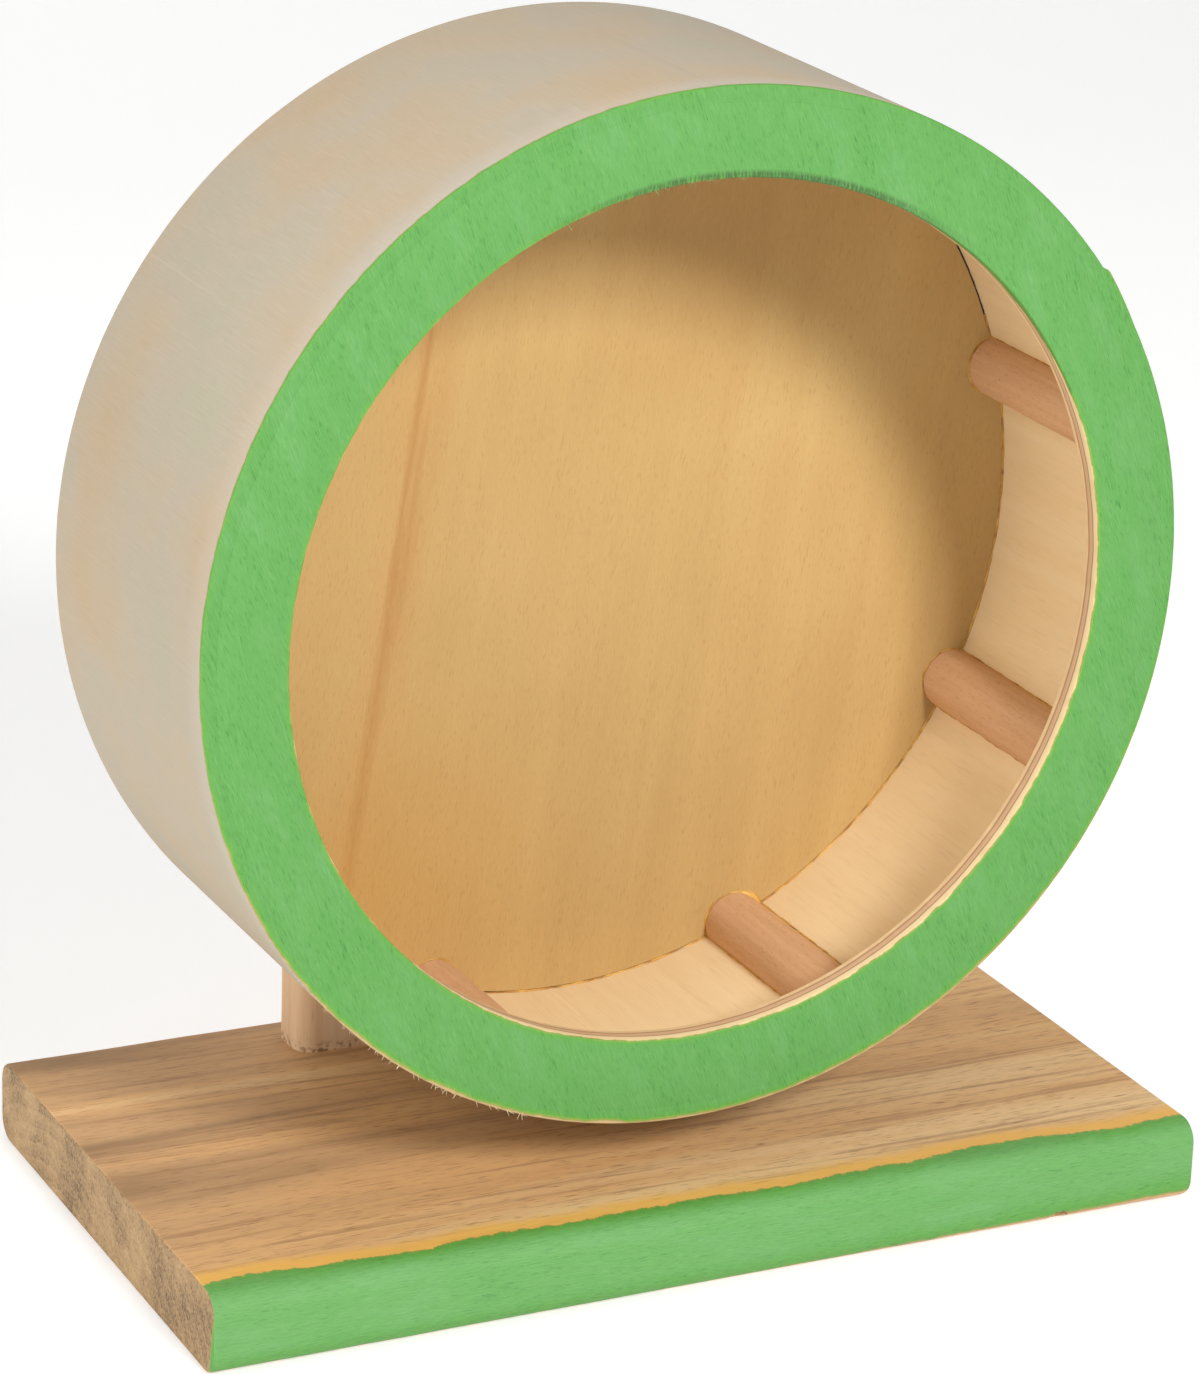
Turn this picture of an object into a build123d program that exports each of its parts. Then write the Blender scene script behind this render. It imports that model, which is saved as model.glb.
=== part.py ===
from build123d import *
import math
import os

os.makedirs("parts", exist_ok=True)

# A wooden exercise wheel for a hamster or mouse.
# Millimetres, +Z up, +X to the right, +Y to the back.
# The origin is the middle of the base board's underside.

# Base board
base_length = 207.0
base_depth = 115.5
base_thickness = 16.5
base_edge_radius = 4.5

# Wheel
wheel_diameter = 200.0
opening_diameter = 166.0
drum_depth = 75.0
ring_thickness = 5.0
rim_thickness = 3.0
running_depth = 55.3
disc_thickness = 5.0
disc_edge_gap = 0.4

# Where the outer end of the bent rim laps over the inner one, and how far its tip stands up
lap_tip_angle = 36.2
lap_step_angle = 0.7
lap_blend_angle = 7.5
lap_lift = 0.7

# Half-round rungs glued inside the rim
rung_count = 9
rung_width = 12.5
rung_height = 6.25
first_rung_angle = 14.2

# Where the wheel hangs
wheel_setback = 17.75
wheel_to_base_gap = 11.0
wheel_to_upright_gap = 2.4

# Upright board
upright_width = 96.0
upright_thickness = 12.5
upright_edge_radius = 4.0

# Axle bolt and what is threaded on it
bolt_diameter = 6.0
bolt_length = 30.0
bolt_head_height = 4.0
bolt_head_across_flats = 10.0
bolt_land_diameter = 9.4
bolt_land_height = 0.4
bolt_hole_clearance = 0.1
spacer_diameter = 10.0
spacer_thickness = 1.6
washer_diameter = 18.0
washer_thickness = 1.6
nut_across_flats = 10.0
nut_hex_height = 4.5
nut_height = 6.0
nut_collar_diameter = 8.6

# Ball bearing, 6 mm bore, 19 mm outside, 6 mm wide
bearing_outer_diameter = 19.0
bearing_width = 6.0
ball_diameter = 3.46
ball_pitch_diameter = 12.5
ball_count = 7
ball_clearance = 0.07
inner_race_diameter = 10.2
outer_race_opening = 14.8
shield_thickness = 0.3
shield_recess = 0.25
shield_diameter = 16.0
shield_running_gap = 0.2
cage_thickness = 1.3
cage_start = 0.2
cage_end = 2.25

# Hub block glued behind the disc
hub_diameter = 46.0
hub_thickness = 9.5
hub_pocket_diameter = 15.5
hub_edge_chamfer = 1.0

# Screws up through the base into the upright
screw_spacing = 56.0
screw_diameter = 4.0
screw_head_diameter = 8.0
screw_length = 35.0
screw_tip_length = 4.0
screw_head_recess = 0.3
screw_clearance = 0.05
screw_slot_length = 4.4
screw_slot_width = 1.0
screw_slot_depth = 1.1

# Places worked out from the sizes above
wheel_radius = wheel_diameter / 2
rim_inner_radius = wheel_radius - rim_thickness
disc_radius = rim_inner_radius - disc_edge_gap
axle_height = base_thickness + wheel_to_base_gap + wheel_radius
ring_front = -base_depth / 2 + wheel_setback
disc_front = ring_front + ring_thickness + running_depth
disc_back = disc_front + disc_thickness
upright_front = ring_front + drum_depth + wheel_to_upright_gap
upright_back = upright_front + upright_thickness
bearing_back = upright_front - spacer_thickness
bearing_front = bearing_back - bearing_width
bearing_middle = (bearing_front + bearing_back) / 2
screw_row = (upright_front + upright_back) / 2


def across_axle(depth):
    """The plane square to the axle at this depth, centred on the axle, seen from the front."""
    return Plane(origin=(0, depth, axle_height), x_dir=(1, 0, 0), z_dir=(0, -1, 0))


# Base board: solid pine, its two long edges rounded, its ends sawn square.
with BuildPart() as base_board:
    with BuildSketch(Plane.YZ.offset(-base_length / 2)):
        with Locations((0, base_thickness / 2)):
            RectangleRounded(base_depth, base_thickness, base_edge_radius)
    extrude(amount=base_length)
    for side in (-1, 1):
        below = Plane(origin=(side * screw_spacing / 2, screw_row, 0), z_dir=(0, 0, -1))
        with Locations(below):
            CounterSinkHole(
                radius=screw_diameter / 2 + screw_clearance,
                counter_sink_radius=screw_head_diameter / 2 + screw_head_recess + screw_clearance,
                depth=base_thickness,
                counter_sink_angle=90,
            )
base_board.part.label = "base_board"
export_step(base_board.part, "parts/base_board.step")

# Upright: a board standing on the base, its top rounded about the axle.
with BuildPart() as upright:
    with BuildSketch(across_axle(upright_front)):
        foot = base_thickness - axle_height
        half = upright_width / 2
        with BuildLine():
            Polyline((-half, 0), (-half, foot), (half, foot), (half, 0))
            ThreePointArc((half, 0), (0, half), (-half, 0))
        make_face()
    extrude(amount=-upright_thickness)
    front_outline = upright.edges().group_by(Axis.Y)[0].filter_by(GeomType.LINE).filter_by(Axis.Z)
    back_outline = upright.edges().group_by(Axis.Y)[-1].filter_by(GeomType.LINE).filter_by(Axis.Z)
    arches = upright.edges().filter_by(GeomType.CIRCLE)
    fillet(front_outline + back_outline + arches, radius=upright_edge_radius)
    with BuildSketch(across_axle(upright_front)):
        Circle(bolt_diameter / 2 + bolt_hole_clearance)
    extrude(amount=-upright_thickness, mode=Mode.SUBTRACT)
    with BuildSketch(Plane.XY.offset(base_thickness)):
        with Locations((-screw_spacing / 2, screw_row), (screw_spacing / 2, screw_row)):
            Circle(screw_diameter / 2 + screw_clearance)
    extrude(amount=screw_length - base_thickness + 2, mode=Mode.SUBTRACT)
upright.part.label = "upright"
export_step(upright.part, "parts/upright.step")

# Two countersunk wood screws hold the upright down from below.
with BuildPart() as base_screws:
    head_height = (screw_head_diameter - screw_diameter) / 2
    shank_length = screw_length - head_height - screw_tip_length
    for side in (-1, 1):
        spot = (side * screw_spacing / 2, screw_row)
        with BuildSketch(Plane.XY.offset(screw_head_recess)):
            with Locations(spot):
                Circle(screw_head_diameter / 2)
        extrude(amount=head_height, taper=45)
        with BuildSketch(Plane.XY.offset(screw_head_recess + head_height)):
            with Locations(spot):
                Circle(screw_diameter / 2)
        extrude(amount=shank_length)
        with BuildSketch(Plane.XY.offset(screw_head_recess + head_height + shank_length)):
            with Locations(spot):
                Circle(screw_diameter / 2)
        extrude(amount=screw_tip_length, taper=22)
        with BuildSketch(Plane.XY.offset(screw_head_recess)):
            with Locations(spot):
                Rectangle(screw_slot_length, screw_slot_width)
                Rectangle(screw_slot_width, screw_slot_length)
        extrude(amount=screw_slot_depth, mode=Mode.SUBTRACT)
base_screws.part.label = "base_screws"
export_step(base_screws.part, "parts/base_screws.step")

# Axle: a hexagon bolt, its head hidden in the hub block behind the disc.
with BuildPart() as axle_bolt:
    with BuildSketch(across_axle(bearing_front)):
        Circle(bolt_land_diameter / 2)
    extrude(amount=bolt_land_height)
    with BuildSketch(across_axle(bearing_front - bolt_land_height)):
        RegularPolygon(radius=bolt_head_across_flats / 2, side_count=6, major_radius=False)
    extrude(amount=bolt_head_height - bolt_land_height)
    with BuildSketch(across_axle(bearing_front)):
        Circle(bolt_diameter / 2)
    extrude(amount=-bolt_length)
    chamfer(axle_bolt.edges().group_by(Axis.Y)[-1], length=0.8)
axle_bolt.part.label = "axle_bolt"
export_step(axle_bolt.part, "parts/axle_bolt.step")


def ring_on_axle(name, outer_radius, inner_radius, front, thickness):
    """A flat ring round the axle, written as its own part."""
    with BuildPart() as ring:
        with BuildSketch(across_axle(front)):
            Circle(outer_radius)
            Circle(inner_radius, mode=Mode.SUBTRACT)
        extrude(amount=-thickness)
    ring.part.label = name
    export_step(ring.part, f"parts/{name}.step")


# Spacer ring between the bearing and the upright, and the washer behind the upright.
bolt_hole_radius = bolt_diameter / 2 + bolt_hole_clearance
ring_on_axle("spacer_ring", spacer_diameter / 2, bolt_hole_radius, bearing_back, spacer_thickness)
ring_on_axle("rear_washer", washer_diameter / 2, bolt_hole_radius, upright_back, washer_thickness)

# Locking nut: a hexagon with the round collar that holds its nylon insert.
nut_front = upright_back + washer_thickness
with BuildPart() as axle_nut:
    with BuildSketch(across_axle(nut_front)):
        RegularPolygon(radius=nut_across_flats / 2, side_count=6, major_radius=False)
    extrude(amount=-nut_hex_height)
    with BuildSketch(across_axle(nut_front)):
        Circle(nut_collar_diameter / 2)
    extrude(amount=-nut_height)
    fillet(axle_nut.edges().group_by(Axis.Y)[-1], radius=0.8)
    with BuildSketch(across_axle(nut_front)):
        Circle(bolt_hole_radius)
    extrude(amount=-nut_height, mode=Mode.SUBTRACT)
axle_nut.part.label = "axle_nut"
export_step(axle_nut.part, "parts/axle_nut.step")

# Ball bearing: the grooves of both races follow the balls.
groove_radius = ball_diameter / 2 + ball_clearance
ball_track = Plane(origin=(0, bearing_middle, axle_height), z_dir=(0, 1, 0))

with BuildPart() as bearing_inner_race:
    with BuildSketch(across_axle(bearing_front)):
        Circle(inner_race_diameter / 2)
        Circle(bolt_diameter / 2, mode=Mode.SUBTRACT)
    extrude(amount=-bearing_width)
    with Locations(ball_track):
        Torus(ball_pitch_diameter / 2, groove_radius, mode=Mode.SUBTRACT)
bearing_inner_race.part.label = "bearing_inner_race"
export_step(bearing_inner_race.part, "parts/bearing_inner_race.step")

with BuildPart() as bearing_outer_race:
    with BuildSketch(across_axle(bearing_front)):
        Circle(bearing_outer_diameter / 2)
        Circle(outer_race_opening / 2, mode=Mode.SUBTRACT)
    extrude(amount=-bearing_width)
    with Locations(ball_track):
        Torus(ball_pitch_diameter / 2, groove_radius, mode=Mode.SUBTRACT)
    seat_depth = shield_recess + shield_thickness
    for face in (bearing_front, bearing_back - seat_depth):
        with BuildSketch(across_axle(face)):
            Circle(shield_diameter / 2)
        extrude(amount=-seat_depth, mode=Mode.SUBTRACT)
bearing_outer_race.part.label = "bearing_outer_race"
export_step(bearing_outer_race.part, "parts/bearing_outer_race.step")

shield_inner_radius = inner_race_diameter / 2 + shield_running_gap
front_shield_face = bearing_front + shield_recess
rear_shield_face = bearing_back - shield_recess - shield_thickness
ring_on_axle(
    "bearing_front_shield", shield_diameter / 2, shield_inner_radius, front_shield_face, shield_thickness
)
ring_on_axle(
    "bearing_rear_shield", shield_diameter / 2, shield_inner_radius, rear_shield_face, shield_thickness
)

with BuildPart() as bearing_balls:
    with Locations(ball_track):
        with PolarLocations(ball_pitch_diameter / 2, ball_count):
            Sphere(ball_diameter / 2)
bearing_balls.part.label = "bearing_balls"
export_step(bearing_balls.part, "parts/bearing_balls.step")

# Crown cage: a ring beside the balls with a round pocket for each.
with BuildPart() as bearing_cage:
    with BuildSketch(across_axle(bearing_middle - cage_start)):
        Circle((ball_pitch_diameter + cage_thickness) / 2)
        Circle((ball_pitch_diameter - cage_thickness) / 2, mode=Mode.SUBTRACT)
    extrude(amount=cage_end - cage_start)
    with Locations(ball_track):
        with PolarLocations(ball_pitch_diameter / 2, ball_count):
            Sphere(groove_radius, mode=Mode.SUBTRACT)
bearing_cage.part.label = "bearing_cage"
export_step(bearing_cage.part, "parts/bearing_cage.step")

# Hub block: a turned wooden disc that seats the bearing and leaves room for the bolt head.
with BuildPart() as hub_block:
    with BuildSketch(across_axle(disc_back)):
        Circle(hub_diameter / 2)
    extrude(amount=-hub_thickness)
    chamfer(hub_block.edges().group_by(Axis.Y)[-1], length=hub_edge_chamfer)
    with BuildSketch(across_axle(disc_back)):
        Circle(hub_pocket_diameter / 2)
    extrude(amount=-(bearing_front - disc_back), mode=Mode.SUBTRACT)
    with BuildSketch(across_axle(bearing_front)):
        Circle(bearing_outer_diameter / 2)
    extrude(amount=-hub_thickness, mode=Mode.SUBTRACT)
hub_block.part.label = "hub_block"
export_step(hub_block.part, "parts/hub_block.step")

# Back disc: plywood, set inside the rim.
with BuildPart() as back_disc:
    with BuildSketch(across_axle(disc_front)):
        Circle(disc_radius)
    extrude(amount=-disc_thickness)
back_disc.part.label = "back_disc"
export_step(back_disc.part, "parts/back_disc.step")


def on_circle(radius, degrees):
    """A point on a circle round the axle, its angle counted from +X towards +Z."""
    return (radius * math.cos(math.radians(degrees)), radius * math.sin(math.radians(degrees)))


# Rim band: thin plywood bent into a drum, with the raised tip where its ends lap.
with BuildPart() as rim_band:
    lap_start = lap_tip_angle - lap_blend_angle
    lap_end = lap_tip_angle + lap_step_angle
    with BuildSketch(across_axle(ring_front)):
        Circle(wheel_radius)
        with BuildLine():
            tip = on_circle(wheel_radius + lap_lift, lap_tip_angle)
            rise = on_circle(wheel_radius + lap_lift * 0.35, lap_tip_angle - lap_blend_angle * 0.4)
            ThreePointArc(on_circle(wheel_radius, lap_start), rise, tip)
            Polyline(
                tip,
                on_circle(wheel_radius, lap_end),
                on_circle(rim_inner_radius + 1, lap_end),
                on_circle(rim_inner_radius + 1, lap_start),
                on_circle(wheel_radius, lap_start),
            )
        make_face()
        Circle(rim_inner_radius, mode=Mode.SUBTRACT)
    extrude(amount=-drum_depth)
rim_band.part.label = "rim_band"
export_step(rim_band.part, "parts/rim_band.step")

# Front ring: plywood, set flush inside the rim's front edge.
ring_on_axle("front_ring", rim_inner_radius, opening_diameter / 2, ring_front, ring_thickness)

# Rungs: half-round moulding, flat side glued to the rim, between the front ring and the disc.
rung_seat = math.sqrt(rim_inner_radius**2 - (rung_width / 2) ** 2)
for index in range(rung_count):
    angle = first_rung_angle + index * 360 / rung_count
    outward = (math.cos(math.radians(angle)), 0, math.sin(math.radians(angle)))
    rung_start = (0, ring_front + ring_thickness, axle_height)
    with BuildPart() as rung:
        with BuildSketch(Plane(origin=rung_start, x_dir=outward, z_dir=(0, -1, 0))):
            with BuildLine():
                Line((rung_seat, -rung_width / 2), (rung_seat, rung_width / 2))
                ThreePointArc(
                    (rung_seat, rung_width / 2),
                    (rung_seat - rung_height, 0),
                    (rung_seat, -rung_width / 2),
                )
            make_face()
        extrude(amount=-running_depth)
    name = f"rung_{index + 1}"
    rung.part.label = name
    export_step(rung.part, f"parts/{name}.step")
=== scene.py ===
# %% [markdown]
# # A wooden running wheel, dressed in Blender
#
# The part is a running wheel for a hamster or a mouse. A plywood ring painted
# green closes the front of a drum of thin bent plywood, half-round beech rungs
# give the animal a grip, and an upright on a pine base carries the axle.
#
# The CAD model fixes every size and every place. Loading it gives its nodes as
# ordinary Blender meshes, in metres, and the pieces made below are fitted to
# them.

# %% Load the frame
import math

import bmesh
import bpy
from mathutils import Matrix, Vector, noise


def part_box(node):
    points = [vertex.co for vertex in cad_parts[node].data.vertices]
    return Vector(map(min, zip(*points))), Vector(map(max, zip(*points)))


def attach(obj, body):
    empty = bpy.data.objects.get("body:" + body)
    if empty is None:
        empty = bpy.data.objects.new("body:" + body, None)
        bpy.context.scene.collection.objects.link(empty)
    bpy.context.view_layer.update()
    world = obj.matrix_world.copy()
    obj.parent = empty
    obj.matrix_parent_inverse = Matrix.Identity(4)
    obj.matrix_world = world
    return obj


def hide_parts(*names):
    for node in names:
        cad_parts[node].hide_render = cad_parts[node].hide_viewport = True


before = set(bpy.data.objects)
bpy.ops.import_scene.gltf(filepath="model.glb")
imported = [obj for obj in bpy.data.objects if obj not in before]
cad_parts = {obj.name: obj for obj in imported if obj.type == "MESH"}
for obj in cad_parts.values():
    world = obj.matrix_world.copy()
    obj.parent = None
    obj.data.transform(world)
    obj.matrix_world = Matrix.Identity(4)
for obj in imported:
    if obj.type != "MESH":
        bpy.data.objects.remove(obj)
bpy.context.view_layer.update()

# %% [markdown]
# ## Sizes
#
# A piece that replaces a CAD node must sit exactly where the node sits. Reading
# the sizes from the nodes' own boxes is safer than typing them again, because a
# change in the CAD source then reaches the dressed model by itself. The opening
# of the ring isn't a box size, so it is the distance from the axle to the
# nearest corner of the ring's mesh.

# %% Sizes read from the CAD
mm = 0.001
scene = bpy.context.scene
ring_low, ring_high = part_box("front_ring")
rim_low, rim_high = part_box("rim_band")
disc_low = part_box("back_disc")[0]
base_low, base_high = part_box("base_board")
upright_low, upright_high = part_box("upright")
axle_height = (ring_low.z + ring_high.z) / 2
ring_front = ring_low.y
wheel_radius = -rim_low.x
rim_inside = ring_high.x
opening_radius = min(
    math.hypot(v.co.x, v.co.z - axle_height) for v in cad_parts["front_ring"].data.vertices
)
print("opening", round(2000 * opening_radius, 1), "mm, axle at", round(1000 * axle_height, 1), "mm")

# %% [markdown]
# ## Stage
#
# The object was photographed on seamless white. A floor that curves up into a
# wall, as a paper roll does in a studio, has no horizon line to catch the eye.
# The sweep is one strip of faces: flat, then a quarter circle, then upright.

# %% Paper sweep
def sweep_of_paper(width, front, back, bend_radius, height):
    """A strip from the front of the floor to the top of the wall."""
    path = [(front, 0.0), (back, 0.0)]
    for step in range(1, 17):
        turn = math.radians(90 * step / 16)
        path.append((back + bend_radius * math.sin(turn), bend_radius * (1 - math.cos(turn))))
    path.append((back + bend_radius, height))
    mesh = bpy.data.meshes.new("paper_sweep")
    points = [(side * width / 2, y, z) for y, z in path for side in (-1, 1)]
    faces = [(2 * i, 2 * i + 1, 2 * i + 3, 2 * i + 2) for i in range(len(path) - 1)]
    mesh.from_pydata(points, [], faces)
    mesh.shade_smooth()
    sweep = bpy.data.objects.new("paper_sweep", mesh)
    scene.collection.objects.link(sweep)
    return sweep


paper = sweep_of_paper(width=12.0, front=-5.0, back=0.8, bend_radius=0.8, height=5.0)
print("sweep of", len(paper.data.polygons), "faces")

# %% [markdown]
# ## Camera
#
# The camera stands where the photograph was taken from: to the left of the
# front, a little above. It was found by fitting the ring's two circles, the
# drum's outline and the base's edges, so its numbers aren't round. A long lens
# far away keeps the circles near true ellipses. The sensor is fitted to the
# image's width, so the frame doesn't depend on the height of the render.

# %% Camera
camera_place = Vector((-0.403105, -0.813007, 0.420157))
camera_azimuth = math.radians(26.249)
camera_elevation = math.radians(19.370)
camera_roll = math.radians(2.011)
lens = bpy.data.cameras.new("camera")
lens.sensor_fit = "HORIZONTAL"
lens.sensor_width = 36.0
lens.lens = 150.19
lens.clip_start = 0.05
lens.clip_end = 60.0
camera = bpy.data.objects.new("camera", lens)
scene.collection.objects.link(camera)
looking = Vector((
    math.sin(camera_azimuth) * math.cos(camera_elevation),
    math.cos(camera_azimuth) * math.cos(camera_elevation),
    -math.sin(camera_elevation),
))
turned = looking.to_track_quat("-Z", "Y").to_matrix().to_4x4()
camera.matrix_world = (
    Matrix.Translation(camera_place) @ turned @ Matrix.Rotation(camera_roll, 4, "Z")
)
scene.camera = camera
print("camera", round((camera_place - Vector((0, 0, axle_height))).length, 3), "m from the axle")

# %% [markdown]
# ## Nodes
#
# Materials and Geometry Nodes are both node trees, so one function serves both.
# It adds a node, sets its properties, and feeds its inputs: a number or colour
# sets the socket, and another node or one of its outputs is linked to it.
# A colour ramp's stops are a property too, only a longer one.
#
# Blender works in linear light, while a colour given here is an sRGB hex
# value, so every colour passes through one conversion. Every material starts
# the same way, with its shader and the coordinates that its patterns follow.

# %% One function for nodes, one for colours, one to start a material
def linear(hex_colour):
    """Linear red, green, blue and alpha from a value such as "7bbc64"."""
    parts = [int(hex_colour[i:i + 2], 16) / 255 for i in (0, 2, 4)]
    return (*[c / 12.92 if c <= 0.04045 else ((c + 0.055) / 1.055) ** 2.4 for c in parts], 1.0)


def add(tree, kind, feeds=None, stops=None, **settings):
    """Adds a node with its settings and links, and returns it."""
    node = tree.nodes.new(kind)
    for name, value in settings.items():
        setattr(node, name, value)
    if stops:
        ramp = node.color_ramp
        while len(ramp.elements) < len(stops):
            ramp.elements.new(1.0)
        for element, (place, colour) in zip(ramp.elements, stops):
            element.position = place
            element.color = linear(colour) if isinstance(colour, str) else (colour,) * 3 + (1.0,)
    for name, value in (feeds or {}).items():
        if isinstance(value, bpy.types.Node):
            value = next(s for s in value.outputs if s.enabled)
        if isinstance(value, bpy.types.NodeSocket):
            tree.links.new(value, node.inputs[name])
        else:
            node.inputs[name].default_value = value
    return node


def new_finish(name):
    """A new material, its node tree, its shader and the Object coordinates."""
    finish = bpy.data.materials.new(name)
    finish.use_nodes = True
    tree = finish.node_tree
    here = add(tree, "ShaderNodeTexCoord").outputs["Object"]
    return finish, tree, tree.nodes["Principled BSDF"], here


print("apple green in linear light:", [round(c, 3) for c in linear("7bbc64")[:3]])

# %% [markdown]
# ## Light
#
# The shadow that the ring casts on the disc shows where the main light stood:
# in front, about 30 degrees up, so the top of the drum's inside is in shade. A
# broad light on the left brightens the rim and reaches under the drum, and a
# weak one from above lifts the top of the rim. A dim white world stands for the
# walls of the tent. The key is small, because a small light gives its shadow a
# sharp edge.

# %% Light
def soft_light(name, place, size, power, colour="ffffff"):
    """A square area light that points at the wheel."""
    light = bpy.data.lights.new(name, "AREA")
    light.shape = "SQUARE"
    light.size = size
    light.energy = power
    light.color = linear(colour)[:3]
    lamp = bpy.data.objects.new(name, light)
    scene.collection.objects.link(lamp)
    aim = Vector((0, 0, axle_height)) - Vector(place)
    lamp.matrix_world = (
        Matrix.Translation(place) @ aim.to_track_quat("-Z", "Y").to_matrix().to_4x4()
    )
    return lamp


world = bpy.data.worlds.new("white_tent")
world.use_nodes = True
world.node_tree.nodes["Background"].inputs["Color"].default_value = linear("ffffff")
world.node_tree.nodes["Background"].inputs["Strength"].default_value = 0.15
scene.world = world
scene.view_settings.view_transform = "Standard"
soft_light("key", (0.1, -1.4, 0.98), 0.38, 24.5)
soft_light("left_fill", (-1.4, -0.5, 0.7), 1.2, 15.0)
soft_light("top_fill", (-0.1, 0.3, 1.6), 1.1, 4.0)

# %% [markdown]
# ## Paper
#
# The white sweep is translucent and lit from behind, as product photographers
# do to lose the background: it gives off some light of its own and keeps only
# a faint shadow. Its fibres are far too fine to see, so a trace of unevenness in
# the roughness is enough to keep it from looking like plastic.

# %% Backlit translucent paper
paper_finish, t, shader, here = new_finish("backlit_translucent_paper")
fibre = add(t, "ShaderNodeTexNoise", {"Vector": here, "Scale": 400.0, "Detail": 2.0})
rough = add(t, "ShaderNodeMapRange", {0: fibre, 3: 0.85, 4: 0.95})
t.links.new(rough.outputs[0], shader.inputs["Roughness"])
shader.inputs["Base Color"].default_value = linear("d6d6d5")
shader.inputs["Specular IOR Level"].default_value = 0.1
shader.inputs["Emission Color"].default_value = linear("ffffff")
shader.inputs["Emission Strength"].default_value = 0.42
paper.data.materials.append(paper_finish)
print("paper finish has", len(t.nodes), "nodes")

# %% [markdown]
# ## What wood looks like
#
# Every wood here is drawn from the same three things: broad streaks that run
# with the grain, where summer and winter growth alternate; pores or flecks,
# short dark dashes that the plane has cut open; and fibres, finer still. All
# three are noise that is stretched along the grain. A node group takes a
# position whose X runs with the grain and the real widths and lengths in
# millimetres, so each wood only has to say its own sizes.

# %% Start a node group
def new_group(name, inputs, outputs):
    """A shader node group with these sockets, and the outputs of its input node."""
    group = bpy.data.node_groups.new(name, "ShaderNodeTree")
    for sockets, direction in ((inputs, "INPUT"), (outputs, "OUTPUT")):
        for label, kind in sockets.items():
            group.interface.new_socket(
                label, in_out=direction, socket_type="NodeSocket" + kind)
    return group, group.nodes.new("NodeGroupInput").outputs


# %% Group for the figure of wood
wood_figure, given = new_group("wood figure", {
    "Place": "Vector",
    "Streak width": "Float",
    "Streak length": "Float",
    "Fleck width": "Float",
    "Fleck length": "Float",
    "Wander": "Float",
}, {"Streak": "Float", "Fleck": "Float", "Fibre": "Float"})
t = wood_figure
in_mm = add(t, "ShaderNodeVectorMath", {0: given["Place"], "Scale": 1000.0}, operation="SCALE")
slow = add(t, "ShaderNodeVectorMath", {0: in_mm, 1: (0.006, 0.03, 0.03)}, operation="MULTIPLY")
wave = add(t, "ShaderNodeTexNoise", {"Vector": slow, "Scale": 1.0, "Detail": 2.0})
drift = add(t, "ShaderNodeMath", {0: wave.outputs[0], 1: 0.5}, operation="SUBTRACT")
drift = add(t, "ShaderNodeMath", {0: drift, 1: given["Wander"]}, operation="MULTIPLY")
aside = add(t, "ShaderNodeCombineXYZ", {"Y": drift, "Z": drift})
bent = add(t, "ShaderNodeVectorMath", {0: in_mm, 1: aside}, operation="ADD")

along = add(t, "ShaderNodeMath", {0: 1.0, 1: given["Streak length"]}, operation="DIVIDE")
across = add(t, "ShaderNodeMath", {0: 1.0, 1: given["Streak width"]}, operation="DIVIDE")
stretch = add(t, "ShaderNodeCombineXYZ", {"X": along, "Y": across, "Z": across})
drawn = add(t, "ShaderNodeVectorMath", {0: bent, 1: stretch}, operation="MULTIPLY")
streak = add(
    t, "ShaderNodeTexNoise", {"Vector": drawn, "Scale": 1.0, "Detail": 5.0, "Roughness": 0.6})

along = add(t, "ShaderNodeMath", {0: 1.0, 1: given["Fleck length"]}, operation="DIVIDE")
across = add(t, "ShaderNodeMath", {0: 1.0, 1: given["Fleck width"]}, operation="DIVIDE")
stretch = add(t, "ShaderNodeCombineXYZ", {"X": along, "Y": across, "Z": across})
drawn = add(t, "ShaderNodeVectorMath", {0: bent, 1: stretch}, operation="MULTIPLY")
dash = add(
    t, "ShaderNodeTexNoise", {"Vector": drawn, "Scale": 1.0, "Detail": 2.0, "Roughness": 0.5})
fleck = add(t, "ShaderNodeMapRange", {0: dash.outputs[0], 1: 0.56, 2: 0.74})
fine = add(t, "ShaderNodeVectorMath", {0: drawn, 1: (0.7, 2.1, 2.1)}, operation="MULTIPLY")
fibre = add(
    t, "ShaderNodeTexNoise", {"Vector": fine, "Scale": 1.0, "Detail": 3.0, "Roughness": 0.7})
add(t, "NodeGroupOutput", {"Streak": streak.outputs[0], "Fleck": fleck, "Fibre": fibre.outputs[0]})
print("wood figure:", len(t.nodes), "nodes")

# %% [markdown]
# ## Where a point lies on the wheel
#
# The ring, the rim and the glue between them are round, so their finishes are
# told by three numbers: how far a point is from the axle, how far behind the
# ring's painted face, and at what angle round the wheel. One small group works
# them out from Object coordinates, which turn with the wheel.

# %% Group for the place on the wheel
on_wheel = new_group(
    "place on the wheel", {}, {"Radius": "Float", "Depth": "Float", "Angle": "Float"})[0]
t = on_wheel
here = add(t, "ShaderNodeTexCoord").outputs["Object"]
centre = (0.0, ring_front, axle_height)
moved = add(t, "ShaderNodeVectorMath", {0: here, 1: centre}, operation="SUBTRACT")
moved = add(t, "ShaderNodeVectorMath", {0: moved, "Scale": 1000.0}, operation="SCALE")
xyz = add(t, "ShaderNodeSeparateXYZ", {0: moved}).outputs
flat = add(t, "ShaderNodeCombineXYZ", {"X": xyz["X"], "Z": xyz["Z"]})
radius = add(t, "ShaderNodeVectorMath", {0: flat}, operation="LENGTH").outputs["Value"]
angle = add(t, "ShaderNodeMath", {0: xyz["Z"], 1: xyz["X"]}, operation="ARCTAN2")
add(t, "NodeGroupOutput", {"Radius": radius, "Depth": xyz["Y"], "Angle": angle})
print("place on the wheel:", len(t.nodes), "nodes")
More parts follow.
